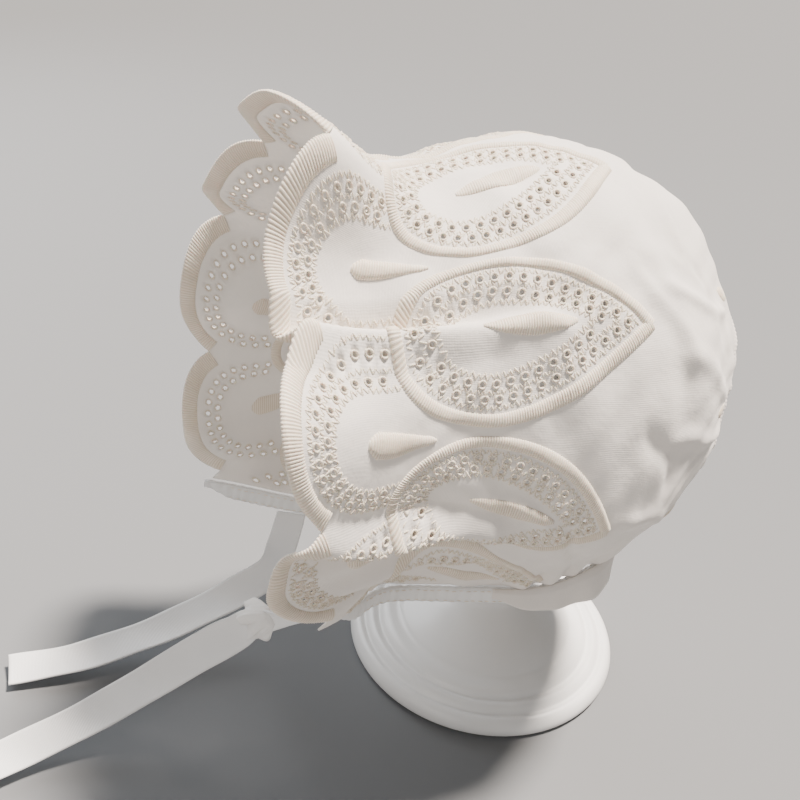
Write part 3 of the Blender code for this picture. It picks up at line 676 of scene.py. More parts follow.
def cotton_lawn(name, colour, thread=0.00042):
    """Fine plain weave: crossed bands on the flat coordinates, soft creases, faint sheen."""
    light = np.array(colour)
    mat, tree, shader = new_material(name, colour, 0.86, Sheen_Weight=0.15, Sheen_Roughness=0.5,
                                     Subsurface_Weight=0.12, Subsurface_Scale=0.004)
    shader.inputs["Subsurface Radius"].default_value = (1.0, 0.9, 0.8)
    coord, _ = tint(tree, shader, light * [0.965, 0.965, 0.975], light, 55)
    bump = None
    for turn in (0, np.pi / 2):
        bump = wave_bump(tree, coord, turn, thread, 1.2, 0.22, 0.00012, bump)
    bump = noise_bump(tree, coord, 420, 0.25, 0.0004, bump)
    bump = noise_bump(tree, coord, 90, 0.35, 0.0012, bump)
    tree.links.new(bump.outputs["Normal"], shader.inputs["Normal"])
    return mat


def satin_thread(name, colour, pitch=0.00088):
    """Laid embroidery thread: painted shade darkens each stitch where it meets the next, in the
    groove between them, with fine bands across the strip and a soft gloss."""
    light = np.array(colour)
    mat, tree, shader = new_material(name, colour, 0.5, Sheen_Weight=0.2, Sheen_Roughness=0.4,
                                     Specular_IOR_Level=0.45, Subsurface_Weight=0.08,
                                     Subsurface_Scale=0.002)
    coord, ramp = tint(tree, shader, light * [0.95, 0.94, 0.92], light, 140)
    wave = tree.nodes.new("ShaderNodeTexWave")
    wave.inputs["Scale"].default_value = WAVE_UNIT / pitch
    wave.inputs["Distortion"].default_value = 0.4
    # Painted shade: this ramp darkens the thread's colour from white to a warm grey toward the groove where
    # two stitches meet
    seam = tree.nodes.new("ShaderNodeValToRGB")
    for stop, place, shade in zip(seam.color_ramp.elements, (0.45, 1.0), ((1, 1, 1), (0.80, 0.755, 0.69))):
        stop.position = place
        stop.color = (*shade, 1)
    painted_shade_mix = tree.nodes.new("ShaderNodeMix")
    painted_shade_mix.data_type = "RGBA"
    painted_shade_mix.blend_type = "MULTIPLY"
    painted_shade_mix.inputs[0].default_value = 1.0
    tree.links.new(coord.outputs["UV"], wave.inputs["Vector"])
    tree.links.new(wave.outputs["Fac"], seam.inputs["Fac"])
    tree.links.new(ramp.outputs["Color"], painted_shade_mix.inputs[6])
    tree.links.new(seam.outputs["Color"], painted_shade_mix.inputs[7])
    tree.links.new(painted_shade_mix.outputs[2], shader.inputs["Base Color"])
    bump = wave_bump(tree, coord, 0, 0.00022, 0.8, 0.4, 0.0001)
    bump = noise_bump(tree, coord, 700, 0.3, 0.0003, bump)
    tree.links.new(bump.outputs["Normal"], shader.inputs["Normal"])
    return mat


def ribbon_weave(name, colour):
    """Close ribbed ribbon: fine ribs across its length, soft satin light."""
    light = np.array(colour)
    mat, tree, shader = new_material(name, colour, 0.55, Sheen_Weight=0.3, Sheen_Roughness=0.45)
    coord, _ = tint(tree, shader, light * 0.965, light, 60)
    bump = wave_bump(tree, coord, 0, 0.0005, 0.3, 0.4, 0.00012)
    bump = noise_bump(tree, coord, 300, 0.2, 0.0003, bump)
    tree.links.new(bump.outputs["Normal"], shader.inputs["Normal"])
    return mat


def painted_wood(name, colour):
    """Satin gloss paint with faint brush marks."""
    light = np.array(colour)
    mat, tree, shader = new_material(name, colour, 0.32, Coat_Weight=0.25, Coat_Roughness=0.18)
    coord, _ = tint(tree, shader, light * [0.955, 0.95, 0.94], light, 28)
    bump = noise_bump(tree, coord, 160, 0.08, 0.0006)
    bump = noise_bump(tree, coord, 24, 0.10, 0.002, bump)
    tree.links.new(bump.outputs["Normal"], shader.inputs["Normal"])
    return mat


# ---------------------------------------------------------------- neckline, ties and stand

def neckline(count):
    """Neckline from one front corner round to the other, with its frame: points, ahead,
    drop (down along the cloth) and across (through the cloth)."""
    depth = np.concatenate([np.linspace(0.007, 0.150, 20), np.linspace(0.156, SEAM_DEPTH - 0.0006, 10)])
    near, far = lay(neck_arc(depth), depth), lay(-neck_arc(depth), depth)
    line, _ = walk(np.concatenate([near, far[::-1]]), 0.0001)
    knots = 60
    line = line[np.linspace(0, len(line) - 1, knots).astype(int)]
    for _ in range(2):
        line[1:-1] = (line[:-2] + 2 * line[1:-1] + line[2:]) / 4
    fine = np.linspace(0, knots - 1, count)
    line = np.stack([smooth(np.arange(float(knots)), line[:, k], fine) for k in range(3)], 1)
    ahead = unit(np.gradient(line, axis=0))
    down = np.array([0, 0, -1.0])
    across = unit(np.cross(ahead, down))
    drop = np.cross(across, ahead)
    drop *= np.sign(drop @ down)[:, None]
    return line, ahead, drop, across


def band_middle(line, drop):
    """Middle line and height of the neck band.  Its height grows from both ends, and a
    tuck takes its near end up behind the brim."""
    run = run_along(line)
    grown = ease(run / BAND_GROW)
    tall = BAND_HEIGHT * (0.12 + 0.88 * grown) * (0.45 + 0.55 * ease((run[-1] - run) / 0.012))
    tall = tall[:, None]
    tuck = (1 - grown)[:, None] * np.array([-0.0030, 0.0008, 0.0036])
    return line + tuck + drop * (BAND_DROP + tall / 2), tall


def tie_path(root, along_band, table, count):
    """Middle and width line of a tie, cut to its length and kept off the floor."""
    first = along_band * np.sign(along_band @ table[0, 3:])
    table = np.concatenate([[np.append(root / TIE_LENGTH, first)], table])
    knots = np.arange(float(len(table)))
    fine = np.linspace(0, len(table) - 1, 400)
    path = np.stack([smooth(knots, table[:, k] * TIE_LENGTH, fine) for k in range(6)], 1)
    length = run_along(path[:, :3])
    even = np.linspace(0, min(TIE_LENGTH, length[-1]), count)
    path = np.stack([np.interp(even, length, path[:, k]) for k in range(6)], 1)
    middle, wide = path[:, :3], path[:, 3:]
    ahead = unit(np.gradient(middle, axis=0))
    wide = unit(wide - ahead * np.sum(wide * ahead, 1, keepdims=True))
    thick = np.cross(ahead, wide)
    low = middle[:, 2] - np.abs(wide[:, 2]) * TIE_WIDTH / 2 - np.abs(thick[:, 2]) * 0.0005
    middle[:, 2] += np.maximum(FLOOR_CLEAR - low, 0)
    return middle, wide, thick, even


def turned(name, profile, mat, sides=144):
    """Turned piece about the stand's axis: the profile's cubic, carried round a circle."""
    knots = np.arange(float(len(profile)))
    fine = np.linspace(0, len(profile) - 1, 6 * len(profile))
    r = smooth(knots, profile[:, 0], fine) * FOOT_RADIUS
    z = np.maximum(smooth(knots, profile[:, 1], fine) * STAND_HEIGHT, 0)
    turn = circle(sides)
    points = np.stack([r[:, None] * np.cos(turn), r[:, None] * np.sin(turn), z[:, None] + 0 * turn], -1)
    faces = grid_faces(len(r), sides, True).tolist()
    faces += [list(range(sides))[::-1], list(range((len(r) - 1) * sides, len(r) * sides))]
    return closed_piece(name, points.reshape(-1, 3), faces, mat)


# ---------------------------------------------------------------- settings

class HatSettings(bpy.types.PropertyGroup):
    """Sizes and colours of the cloth and its embroidery."""
    cloth_wall: bpy.props.FloatProperty(name="Cloth wall", description="Thickness of the cotton",
                                        default=0.0006, unit="LENGTH", precision=4)
    eyelet: bpy.props.FloatProperty(name="Eyelet", description="Width of the hole inside an eyelet's rim",
                                    default=0.0019, unit="LENGTH", precision=4)
    eyelet_spacing: bpy.props.FloatProperty(name="Eyelet spacing", description="Step between eyelets",
                                            default=0.0044, unit="LENGTH", precision=4)
    edge_width: bpy.props.FloatProperty(name="Edge width", description="Width of the scallops' satin edge",
                                        default=0.0060, unit="LENGTH", precision=4)
    outline_width: bpy.props.FloatProperty(name="Outline width", description="Width of the petals' outline",
                                           default=0.0040, unit="LENGTH", precision=4)
    stitch_pitch: bpy.props.FloatProperty(name="Stitch pitch", description="Distance between satin ridges",
                                          default=0.00088, unit="LENGTH", precision=5)
    cotton_colour: bpy.props.FloatVectorProperty(name="Cotton", description="Colour of the cotton cloth",
                                                 default=(0.915, 0.862, 0.802), subtype="COLOR")
    thread_colour: bpy.props.FloatVectorProperty(name="Thread", description="Colour of the embroidery",
                                                 default=(0.925, 0.835, 0.720), subtype="COLOR")


class TieSettings(bpy.types.PropertyGroup):
    """Sizes and colours of the neck binding and the ties."""
    ribbon_wall: bpy.props.FloatProperty(name="Ribbon wall", description="Thickness of a tie's ribbon",
                                         default=0.0007, unit="LENGTH", precision=4)
    ruffle_folds: bpy.props.IntProperty(name="Ruffle folds", description="Folds of the nape's ruffle",
                                        default=9)
    tape_colour: bpy.props.FloatVectorProperty(name="Tape", description="Colour of the neck binding",
                                               default=(0.90, 0.90, 0.89), subtype="COLOR")
    ribbon_colour: bpy.props.FloatVectorProperty(name="Ribbon", description="Colour of the ties",
                                                 default=(0.91, 0.91, 0.91), subtype="COLOR")


class StandSettings(bpy.types.PropertyGroup):
    """Look of the stand and of the stage round it."""
    stand_colour: bpy.props.FloatVectorProperty(name="Stand paint", description="Colour of the stand",
                                                default=(0.88, 0.88, 0.875), subtype="COLOR")
    floor_colour: bpy.props.FloatVectorProperty(name="Floor", description="Colour of the plain floor",
                                                default=(0.165, 0.172, 0.180), subtype="COLOR")
    key_power: bpy.props.FloatProperty(name="Key light", description="Strength of the light from above",
                                       default=14.0)
    fill_power: bpy.props.FloatProperty(name="Fill light", description="Power of the soft front light",
                                        default=3.0, subtype="POWER")
    lens: bpy.props.FloatProperty(name="Lens", description="Focal length of the camera in millimetres",
                                  default=45.0, subtype="DISTANCE_CAMERA")


# ---------------------------------------------------------------- operators

class HAT_OT_cloth(bpy.types.Operator):
    """Make the brim and crown from one flat cotton pattern with its eyelets cut through"""
    bl_idname = "sun_hat.cloth"
    bl_label = "Brim and crown cloth"

    def execute(self, context):
        opt = context.scene.sun_hat
        holes = eyelet_centres(opt.eyelet_spacing)
        # Outline of the flat pattern: scalloped edge, near side, back seam, far side
        corner = neck_corner()
        edge = np.linspace(-corner, corner, 520)
        front = np.stack([edge, rim(edge)], 1)
        side = np.linspace(front[-1, 1], SEAM_DEPTH, 110)[1:]
        near_side = np.stack([neck_arc(side), side], 1)
        end = float(near_side[-1, 0])
        seam = np.linspace(end, -end, 240)[1:-1]
        back = np.stack([seam, np.full(len(seam), SEAM_DEPTH)], 1)
        loop = np.concatenate([front, near_side, back, (near_side * [-1, 1])[::-1]])
        # Points inside it, every second row half a step on, kept off the holes
        step = 0.0017
        a, d = np.meshgrid(np.arange(-0.2, 0.2, step), np.arange(0.001, SEAM_DEPTH, 0.0015))
        a = a + step / 2 * (np.arange(len(a)) % 2)[:, None]
        grid = np.stack([a.ravel(), d.ravel()], 1)
        grid = grid[in_cloth(grid, 0.0007)]
        grid = grid[nearest(grid, holes) > opt.eyelet * 0.5 + 0.0006]
        # A ring of points round each hole, narrowed where the laid cloth is stretched
        grown = stretch(holes)
        points = loop.tolist()
        links = [(k, (k + 1) % len(loop)) for k in range(len(loop))]
        turn = circle(9)
        ring = np.stack([np.cos(turn), np.sin(turn)], 1) * opt.eyelet / 2
        for n, centre in enumerate(holes):
            first = len(loop) + n * len(ring)
            points += (centre + ring / grown[n]).tolist()
            links += [(first + k, first + (k + 1) % len(ring)) for k in range(len(ring))]
        verts, _, tris, _, _, _ = delaunay_2d_cdt(points + grid.tolist(), links, [], 0, 1e-8)
        verts, tris = np.array([tuple(v) for v in verts]), np.array(tris)
        # Triangles whose middle lies outside the pattern or in a hole are left out
        middle = verts[tris].mean(1)
        rank = np.argmin(((middle[:, None] - holes[None])**2).sum(-1), 1)
        off = np.linalg.norm((middle - holes[rank]) * grown[rank], axis=1)
        tris = tris[inside(middle, loop) & (off > opt.eyelet * 0.455)]
        used = np.unique(tris)
        index = np.full(len(verts), -1)
        index[used] = np.arange(len(used))
        flat, tris = verts[used], index[tris]
        outer, inner = (lay(flat[:, 0], flat[:, 1], side * opt.cloth_wall / 2) for side in (1, -1))
        mat = cotton_lawn("cotton_lawn", tuple(opt.cotton_colour))
        points, faces = walled(outer, inner, tris)
        cloth = put_mesh("hat_cloth", points, faces, mat, np.concatenate([flat, flat]))
        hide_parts("brim", "crown")
        return {"FINISHED"}


class HAT_OT_back(bpy.types.Operator):
    """Make the round back panel and the seam that joins it to the crown"""
    bl_idname = "sun_hat.back"
    bl_label = "Back panel"

    def execute(self, context):
        opt = context.scene.sun_hat
        count = 180
        front = lay(0.0, CLOTH_DEPTH - 0.004)
        reach = (lay(0.0, CLOTH_DEPTH - 0.001) - front) * [0, 0.4, 0]
        turn = np.pi * (2 * np.arange(count) / count - 1)
        arc = np.sign(turn) * np.interp(np.abs(turn), SHELF, ARC)
        depth = np.linspace(SEAM_DEPTH - 0.001, CLOTH_DEPTH - 0.004, 34)
        a, d = np.meshgrid(arc, depth)
        # It laps under the crown at the seam, then its pleats run in to the middle
        past_seam = ease((d - SEAM_DEPTH) / 0.006)
        lap = 0.0007 * (1 - past_seam)
        pleat = 0.00030 * past_seam * ease((CLOTH_DEPTH - d) / 0.03)
        fold = pleat * np.sin(a / ARC[-1] * np.pi * 13 + 2 * np.sin(a * 40)) - lap
        sheets = []
        for wall in (opt.cloth_wall / 2, -opt.cloth_wall / 2):
            sheet = lay(a, d, fold + wall).reshape(-1, 3)
            pole = sheet[-count:].mean(0) + reach
            sheets.append(np.concatenate([sheet, pole[None]]))
        k = np.arange(count)
        last = (len(depth) - 1) * count
        cap = np.stack([last + k, last + (k + 1) % count, 0 * k + len(depth) * count], 1)
        tris = np.concatenate([split_quads(grid_faces(len(depth), count, True)), cap])
        points, faces = walled(sheets[0], sheets[1], tris)
        share = (CLOTH_DEPTH - d.ravel()) / BRIM_WIDTH * 2
        angle = np.broadcast_to(turn, d.shape).ravel()
        disc = np.stack([share * np.sin(angle), share * np.cos(angle)], 1) * 0.06
        disc = np.concatenate([disc, [[0, 0]]])
        mat = cotton_lawn("cotton_back", tuple(opt.cotton_colour))
        back = put_mesh("back_cloth", points, faces, mat, np.concatenate([disc, disc]))
        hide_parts("back_panel")
        seam_line = SEAM_DEPTH - 0.0012
        arc = np.linspace(-neck_arc(seam_line), neck_arc(seam_line), 400)
        path = np.stack([arc, np.full(len(arc), seam_line)], 1)
        seam = embroider("back_seam", [ridged(path, 0.0009, 0.0008, 0.0004, 0.0022, 8)], mat)
        return {"FINISHED"}


class HAT_OT_edging(bpy.types.Operator):
    """Wrap the scalloped edge in ridged satin stitch"""
    bl_idname = "sun_hat.edging"
    bl_label = "Scalloped satin edge"

    def execute(self, context):
        opt = context.scene.sun_hat
        corner = neck_corner()
        half = opt.edge_width / 2
        strips = []
        for k in range(-4, 5):
            lo, hi = max((k - 0.5) * SCALLOP, -corner), min((k + 0.5) * SCALLOP, corner)
            if hi - lo < 0.004:
                continue
            ends = [np.arcsin((end - k * SCALLOP) / SCALLOP_RADIUS) for end in (lo, hi)]
            angle = np.linspace(*ends, 120)
            r = SCALLOP_RADIUS - half * 0.93
            path = np.stack([k * SCALLOP + r * np.sin(angle), SCALLOP_RADIUS - r * np.cos(angle)], 1)
            strips.append(ridged(path, half, SATIN_RISE, 0.00085, opt.stitch_pitch, 12))
        mat = satin_thread("satin_edge", tuple(opt.thread_colour), opt.stitch_pitch)
        edge = embroider("scallop_edging", strips, mat)
        return {"FINISHED"}


class HAT_OT_petals(bpy.types.Operator):
    """Lay the satin outline of each petal, its seed, the bars and the dots"""
    bl_idname = "sun_hat.petals"
    bl_label = "Petals, bars and dots"

    def execute(self, context):
        opt = context.scene.sun_hat
        pitch = opt.stitch_pitch * 0.9
        mat = satin_thread("satin_outline", tuple(opt.thread_colour), pitch)
        strips = []
        for b in PETALS:
            path = petal_path(b)
            for run in split_runs(path[in_cloth(path, 0.0024)]):
                strips.append(ridged(run, opt.outline_width / 2, SATIN_RISE, 0.00075, pitch, 10))
        outlines = embroider("petal_outlines", strips, mat)
        shapes = []
        down = np.array([0.0, 1.0])
        for b in PETALS:
            seed = np.array([b * SCALLOP, PETAL_HEAD + 0.50 * (PETAL_TIP - PETAL_HEAD)])
            if in_cloth(seed[None], 0.004)[0]:
                shapes.append(leaf_rows(seed, down, *SEED, pitch, 10))
        for k in range(-3, 4):
            bar, lean = np.array([k * SCALLOP, BAR_DEPTH]), unit(np.array([0.10 * np.sign(k), 1.0]))
            shapes.append(leaf_rows(bar, lean, *BAR, pitch, 10, True))
            dot = np.array([k * SCALLOP, DOT_DEPTH])
            if in_cloth(dot[None], 0.006)[0]:
                shapes.append(leaf_rows(dot, down, *DOT, opt.stitch_pitch * 0.8))
        leaves = embroider("satin_leaves", shapes, mat)
        return {"FINISHED"}


class HAT_OT_eyelets(bpy.types.Operator):
    """Ring every eyelet with thread and fill the bands with zigzag stitches"""
    bl_idname = "sun_hat.eyelets"
    bl_label = "Eyelet rings and zigzags"

    def execute(self, context):
        opt = context.scene.sun_hat
        mat = satin_thread("eyelet_thread", tuple(opt.thread_colour), 0.0007)
        holes = eyelet_centres(opt.eyelet_spacing)
        # One thread ring with three lumps, repeated at every eyelet
        turns, tube = 12, 5
        a, b = circle(turns)[:, None], circle(tube)
        lump = 1 + 0.16 * np.cos(3 * a)
        radius = opt.eyelet * 0.60 + 0.00042 * np.cos(b) * lump
        ring = np.stack([radius * np.cos(a), radius * np.sin(a), 0.00066 * np.sin(b) * lump + 0.00010],
                        -1).reshape(-1, 3)
        k = np.arange(tube)
        j = (k + 1) % tube
        last = (turns - 1) * tube
        join = np.stack([last + k, last + j, j, k], 1)
        faces = np.concatenate([grid_faces(turns, tube, True), join])[:, ::-1]
        flat = (holes[:, None] + ring[None, :, :2] / stretch(holes)[:, None]).reshape(-1, 2)
        heights = np.tile(ring[:, 2], len(holes))
        uv = np.stack([np.tile(np.repeat(a * opt.eyelet * 0.56, tube), len(holes)), heights], 1)
        rings = put_mesh("eyelet_rings", lay(*flat.T, heights),
                         repeated(faces, len(holes), len(ring)).tolist(), mat, uv)
        # Each short stitch is four rings of five points along a lens
        middle, along, size = self.stitches()
        grown = stretch(middle)
        across = np.stack([-along[:, 1], along[:, 0]], 1) / grown
        along = along / grown
        n = np.arange(len(middle))
        sides = circle(5) + np.pi / 10
        flat, tall, uv = [], [], []
        for t, fat in ((-1.0, 0.30), (-0.55, 0.95), (0.55, 0.95), (1.0, 0.30)):
            for a in sides:
                flat.append(middle + along * (t * size)[:, None] + across * (0.00031 * fat * np.cos(a)))
                tall.append(0.00026 * fat * np.sin(a) + 0.00036 + 0.00010 * np.sin(n * 1.7)
                            - 0.00034 * abs(t)**3)
                uv.append(np.stack([t * size, 0 * size + a * 0.00036], 1))
        flat, tall, uv = (np.stack(v, 1) for v in (flat, tall, uv))
        quads = repeated(grid_faces(4, 5, True)[:, ::-1], len(middle), 20)
        points = lay(*flat.reshape(-1, 2).T, tall.ravel())
        threads = put_mesh("zigzag_threads", points, quads.tolist(), mat, uv.reshape(-1, 2))
        print("stitches", len(middle))
        return {"FINISHED"}

    def stitches(self):
        """Middle, direction and half length of every short stitch: even steps along each
        border, leaning to one side and the other by turns."""
        middles, angles, sizes = [], [], []
        for path, place in band_rows(SCALLOP_BORDERS, PETAL_BORDERS, CLEAR_OF_PETAL[1]):
            for run in split_runs(path):
                knots, _ = walk(run, 0.00096)
                if len(knots) < 4:
                    continue
                ahead = unit(np.gradient(knots, axis=0))
                n = np.arange(len(knots)) + 7 * len(middles)
                lean = np.where(n % 2, 1, -1) * (0.42 + 0.16 * np.sin(n * 2.3)) + np.pi / 2
                angles.append(np.arctan2(ahead[:, 1], ahead[:, 0]) + lean)
                middles.append(knots + ahead * (0.00012 * np.sin(n * 5.1))[:, None])
                sizes.append(STITCH_HALF[place] * (1 + 0.18 * np.sin(n * 1.37 + 0.5)))
        angle = np.concatenate(angles)
        return np.concatenate(middles), np.stack([np.cos(angle), np.sin(angle)], 1), np.concatenate(sizes)


class HAT_OT_neck(bpy.types.Operator):
    """Make the neck binding with its stitches and the ruffle behind the neck"""
    bl_idname = "sun_hat.neck"
    bl_label = "Neck band and ruffle"

    def execute(self, context):
        opt, tie = context.scene.sun_hat, context.scene.sun_hat_ties
        line, ahead, drop, across = neckline(420)
        share = np.linspace(0, 1, len(line))
        pucker = 0.00022 * np.sin(share * 2 * np.pi * PUCKERS + 3 * np.sin(share * 40))
        middle, tall = band_middle(line, drop)
        middle = middle + across * pucker[:, None]
        sides = 16
        points, faces = strip_box(middle, drop * (tall / 2), across * (BAND_WALL / 2), sides, 0.5)
        far = np.linspace(0, 0.40, len(line))
        uv = np.stack([np.repeat(far, sides), np.tile(np.linspace(0, 0.016, sides), len(line))], 1)
        tape = cotton_lawn("binding_tape", tuple(tie.tape_colour), 0.00034)
        band = closed_piece("neck_binding", points, faces, tape, uv)
        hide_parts("neck_band")
        # Two lines of stitches on each broad side of the band
        spots = np.arange(40, len(line) - 12, 3)
        down, out = drop[spots][:, None], across[spots][:, None]
        size = np.array([0.3, 1, 1, 0.3])[None, :, None]
        stitches, faces = [], []
        for level in (0.34, -0.34):
            for face in (1, -1):
                base = (middle[spots] + drop[spots] * level * tall[spots]
                        + across[spots] * face * BAND_WALL * 0.50)
                rows = np.stack([base + ahead[spots] * t * BAND_STITCH for t in (-1, -0.5, 0.5, 1)], 1)
                ring = np.stack([rows + down * 0.00018 * size, rows + out * 0.00024 * face * size,
                                 rows - down * 0.00018 * size, rows - out * 0.0002 * face * size], 2)
                quads = repeated(grid_faces(4, 4, True)[:, ::face], len(spots), 16)
                faces.append(quads + len(stitches) * len(spots) * 16)
                stitches.append(ring.reshape(-1, 3))
        thread = satin_thread("binding_thread", tuple(opt.thread_colour))
        seam = put_mesh("binding_stitches", np.concatenate(stitches), np.concatenate(faces).tolist(),
                        thread)
        # The ruffle hangs from the band and waves more toward its lower edge
        deep = RUFFLE * ease((share - RUFFLE_START) / 0.12) * ease((1 - RUFFLE_START - share) / 0.12)
        outward = across * np.sign(np.sum(across * (line - line.mean(0)), 1))[:, None]
        wave = np.sin(2 * np.pi * share * tie.ruffle_folds) + 0.30 * np.sin(2 * np.pi * share * 23 + 1)
        rows, cols = [], 14
        for v in np.linspace(0, 1, cols):
            swing = outward * (0.10 * v + 0.10 * v * wave)[:, None] + drop * v
            stand_off = outward * (BAND_WALL / 2 + 0.0003 + 0.0009 * ease(v / 0.2))
            rows.append(line + drop * 0.0008 + stand_off + swing * np.maximum(deep, 0.003)[:, None])
        held = slice(98, 356)       # the steps of the neckline that carry the ruffle
        rows = np.stack(rows, 1)[held]
        tris = split_quads(grid_faces(len(rows), cols))
        out = np.repeat(outward[held][:, None], cols, 1) * opt.cloth_wall / 2
        points, faces = walled((rows + out).reshape(-1, 3), (rows - out).reshape(-1, 3), tris)
        flat = np.stack(np.meshgrid(far[held], np.linspace(0, RUFFLE, cols), indexing="ij"), -1)
        flat = flat.reshape(-1, 2)
        cotton = cotton_lawn("cotton_ruffle", tuple(opt.cotton_colour))
        ruffle = closed_piece("nape_frill", points, faces.tolist(), cotton, np.concatenate([flat, flat]))
        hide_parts("nape_ruffle")
        return {"FINISHED"}


class HAT_OT_ties(bpy.types.Operator):
    """Make the two ribbon ties and the gathered knot where the near one is sewn on"""
    bl_idname = "sun_hat.ties"
    bl_label = "Ties"

    def execute(self, context):
        tie = context.scene.sun_hat_ties
        count, half = 60, 30
        line, ahead, drop, _ = neckline(count)
        band, tall = band_middle(line, drop)
        below = band + drop * (tall / 2 + TIE_CLEAR)
        far_root = int(np.argmin(np.abs(band[half:, 1] + 0.079))) + half
        mat = ribbon_weave("tie_ribbon", tuple(tie.ribbon_colour))
        for name, node, spot, table, root in (("near_ribbon", "tie_near", 2, TIE_NEAR, 0.22),
                                              ("far_ribbon", "tie_far", far_root, TIE_FAR, 0.85)):
            middle, wide, thick, run = tie_path(below[spot], ahead[spot], table, 150)
            v = np.linspace(-1, 1, 15)
            end = ease(run / 0.03)[:, None]
            curl = 0.0007 * (v**2 - 0.4)[None] * end + 0.00035 * np.sin(run[:, None] * 210 + v * 1.5) * end
            squeeze = root + (1 - root) * ease(run / TIE_GATHER)[:, None]
            lip = 0.00012 * np.exp(-((np.abs(v) - 0.93) / 0.05)**2)
            sheets = []
            for wall in (1, -1):
                off = curl + wall * (tie.ribbon_wall / 2 + lip)
                sheet = (middle[:, None] + wide[:, None] * (v * TIE_WIDTH / 2 * squeeze)[..., None]
                         + thick[:, None] * off[..., None])
                sheets.append(sheet.reshape(-1, 3))
            points, faces = walled(sheets[0], sheets[1], split_quads(grid_faces(len(run), len(v))))
            points[:, 2] = np.maximum(points[:, 2], FLOOR_LEAST)
            flat = np.stack(np.meshgrid(run, v * TIE_WIDTH / 2, indexing="ij"), -1).reshape(-1, 2)
            ribbon = closed_piece(name, points, faces.tolist(), mat, np.concatenate([flat, flat]))
            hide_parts(node)
            if name == "near_ribbon":
                self.gather(middle, wide, thick, run)
            print(name, "flat", TIE_WIDTH, round(float(run[-1]), 4))
        return {"FINISHED"}

    def gather(self, middle, wide, thick, run):
        """Gathered cloth sewn round the near tie: rings along the tie whose radius grows,
        with pleats of 5, 8 and 17 folds that deepen toward the open end."""
        spot = int(np.argmin(np.abs(run - TUFT_RUN)))
        ahead = unit(middle[spot + 4] - middle[spot])
        count, sides = 18, 72
        a = circle(sides)
        rows = []
        for u in np.linspace(0, 1, count):
            pleat = 1.15 + u * (0.34 * np.sin(5 * a + 2.6 * u) + 0.24 * np.sin(8 * a + 1 + 3 * u)
                                + 0.12 * np.sin(17 * a))
            size = (0.55 + 0.75 * np.sin(np.pi * min(u * 0.62 + 0.05, 1))) * pleat
            back = -0.0065 + 0.0105 * u + 0.0013 * u * np.sin(3 * a) + 0.0006 * u * np.sin(7 * a + 2)
            rows.append(middle[spot] + wide[spot] * (0.0040 * size * np.cos(a))[:, None]
                        + thick[spot] * (0.0029 * size * np.sin(a))[:, None] + ahead * back[:, None])
        rows = np.stack(rows)
        ends = rows[[0, -1]].mean(1) + ahead * np.array([[-0.0004], [-0.0022]])
        k = np.arange(sides)
        j = (k + 1) % sides
        first, last = count * sides, (count - 1) * sides
        faces = (grid_faces(count, sides, True).tolist() + np.stack([0 * k + first, j, k], 1).tolist()
                 + np.stack([0 * k + first + 1, last + k, last + j], 1).tolist())
        points = np.concatenate([rows.reshape(-1, 3), ends])
        mat = cotton_lawn("cotton_gather", TUFT_COLOUR)
        tuft = closed_piece("tie_gather", points, faces, mat, points[:, :2])
        return tuft


class HAT_OT_stand(bpy.types.Operator):
    """Turn the foot, stem and head of the stand from their smooth profiles"""
    bl_idname = "sun_hat.stand"
    bl_label = "Turned stand"

    def execute(self, context):
        mat = painted_wood("stand_paint", tuple(context.scene.sun_hat_stand.stand_colour))
        for name, node, profile in (("turned_foot", "stand_foot", FOOT),
                                    ("turned_stem", "stand_stem", STEM),
                                    ("turned_head", "stand_head", HEAD)):
            piece = turned(name, profile, mat)
            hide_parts(node)
        return {"FINISHED"}


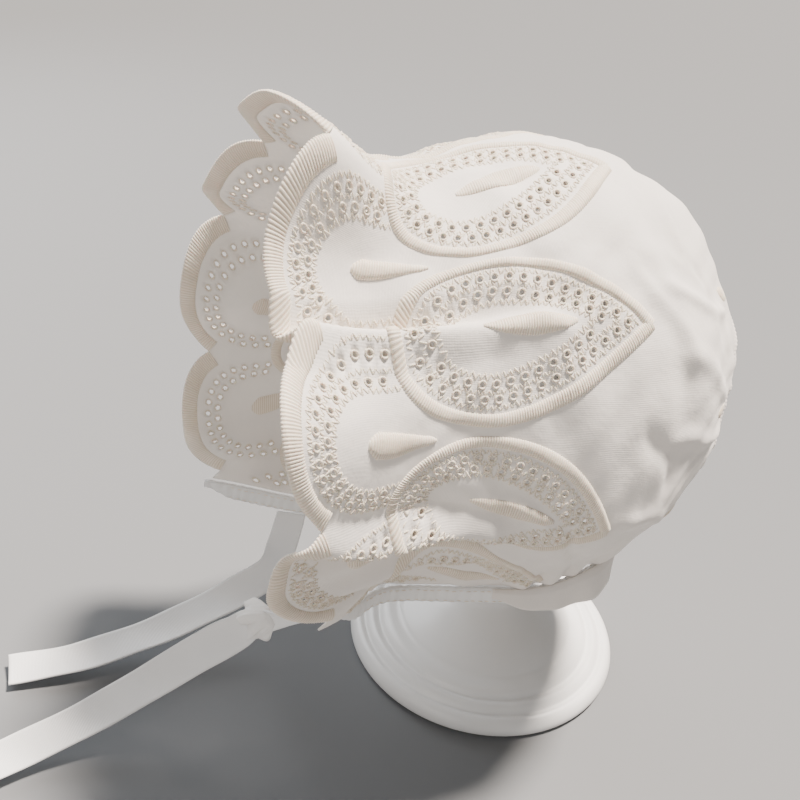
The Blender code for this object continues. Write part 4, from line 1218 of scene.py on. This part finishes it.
class HAT_OT_stage(bpy.types.Operator):
    """Lay the plain floor and set the soft lights and the camera"""
    bl_idname = "sun_hat.stage"
    bl_label = "Floor, lights and camera"

    def execute(self, context):
        scene, opt = context.scene, context.scene.sun_hat_stand
        mesh = bpy.data.meshes.new("floor")
        mesh.from_pydata([(-8, -8, 0), (8, -8, 0), (8, 8, 0), (-8, 8, 0)], [], [(0, 1, 2, 3)])
        mat, _, _ = new_material("floor_paper", tuple(opt.floor_colour), 0.7)
        mesh.materials.append(mat)
        floor = bpy.data.objects.new("floor", mesh)
        scene.collection.objects.link(floor)
        key, fill, back = opt.key_power, opt.fill_power, opt.fill_power * 2.0
        for name, kind, place, aim, power, size, colour in (
                ("key", "SUN", (-0.06, 0.34, 1.20), (0, -0.02, 0.13), key, 0.15, (1.0, 0.89, 0.79)),
                ("fill", "AREA", (0.55, -0.85, 0.50), (0, -0.05, 0.12), fill, 0.7, (1.0, 0.94, 0.88)),
                ("back", "AREA", (-0.70, -0.30, 0.55), (0, -0.05, 0.13), back, 0.6, (0.93, 0.96, 1.0))):
            lamp = bpy.data.lights.new(name, kind)
            lamp.energy = power
            if kind == "SUN":
                lamp.angle = size
            else:
                lamp.size = size
            lamp.color = colour
            light = bpy.data.objects.new(name, lamp)
            light.location = place
            light.rotation_euler = (Vector(aim) - Vector(place)).to_track_quat("-Z", "Y").to_euler()
            scene.collection.objects.link(light)
        world = bpy.data.worlds.new("studio")
        world.use_nodes = True
        background = world.node_tree.nodes["Background"].inputs
        background["Color"].default_value = (0.93, 0.92, 0.91, 1)
        background["Strength"].default_value = 0.24
        scene.world = world
        # The camera looks along -back, with its own right and up turned by the roll
        turn, rise, roll = np.radians(CAMERA_ANGLES)
        back = np.array([np.sin(turn) * np.cos(rise), -np.cos(turn) * np.cos(rise), np.sin(rise)])
        right0 = np.array([np.cos(turn), np.sin(turn), 0])
        up0 = np.cross(back, right0)
        right = right0 * np.cos(roll) + up0 * np.sin(roll)
        up = up0 * np.cos(roll) - right0 * np.sin(roll)
        place = CAMERA_AIM + CAMERA_REACH * back
        lens = bpy.data.cameras.new("camera")
        lens.lens = opt.lens
        lens.sensor_width = 36
        lens.clip_start = 0.01
        camera = bpy.data.objects.new("camera", lens)
        rows = [(*row, p) for row, p in zip(np.stack([right, up, back], 1), place)]
        camera.matrix_world = Matrix(rows + [(0, 0, 0, 1)])
        scene.collection.objects.link(camera)
        scene.camera = camera
        return {"FINISHED"}


class HAT_PT_panel(bpy.types.Panel):
    """Sun hat pieces in the sidebar"""
    bl_label = "Baby Sun Hat"
    bl_idname = "HAT_PT_panel"
    bl_space_type = "VIEW_3D"
    bl_region_type = "UI"
    bl_category = "Sun Hat"

    def draw(self, context):
        layout = self.layout
        for group in (context.scene.sun_hat, context.scene.sun_hat_ties, context.scene.sun_hat_stand):
            box = layout.box()
            for key in group.__annotations__:
                box.prop(group, key)
        for operator in OPERATORS:
            layout.operator(operator.bl_idname)


GROUPS = (HatSettings, TieSettings, StandSettings)
OPERATORS = (HAT_OT_cloth, HAT_OT_back, HAT_OT_edging, HAT_OT_petals, HAT_OT_eyelets, HAT_OT_neck,
             HAT_OT_ties, HAT_OT_stand, HAT_OT_stage)


def register():
    """Register the settings, operators and panel."""
    for item in GROUPS + OPERATORS + (HAT_PT_panel,):
        bpy.utils.register_class(item)
    bpy.types.Scene.sun_hat = bpy.props.PointerProperty(type=HatSettings)
    bpy.types.Scene.sun_hat_ties = bpy.props.PointerProperty(type=TieSettings)
    bpy.types.Scene.sun_hat_stand = bpy.props.PointerProperty(type=StandSettings)


def unregister():
    """Remove the settings, operators and panel."""
    del bpy.types.Scene.sun_hat_stand
    del bpy.types.Scene.sun_hat_ties
    del bpy.types.Scene.sun_hat
    for item in reversed(GROUPS + OPERATORS + (HAT_PT_panel,)):
        bpy.utils.unregister_class(item)


def main():
    """Make every piece in order."""
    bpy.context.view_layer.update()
    register()
    bpy.ops.sun_hat.cloth()
    bpy.ops.sun_hat.back()
    bpy.ops.sun_hat.edging()
    bpy.ops.sun_hat.petals()
    bpy.ops.sun_hat.eyelets()
    bpy.ops.sun_hat.neck()
    bpy.ops.sun_hat.ties()
    bpy.ops.sun_hat.stand()
    bpy.ops.sun_hat.stage()


if __name__ == "__main__":
    main()
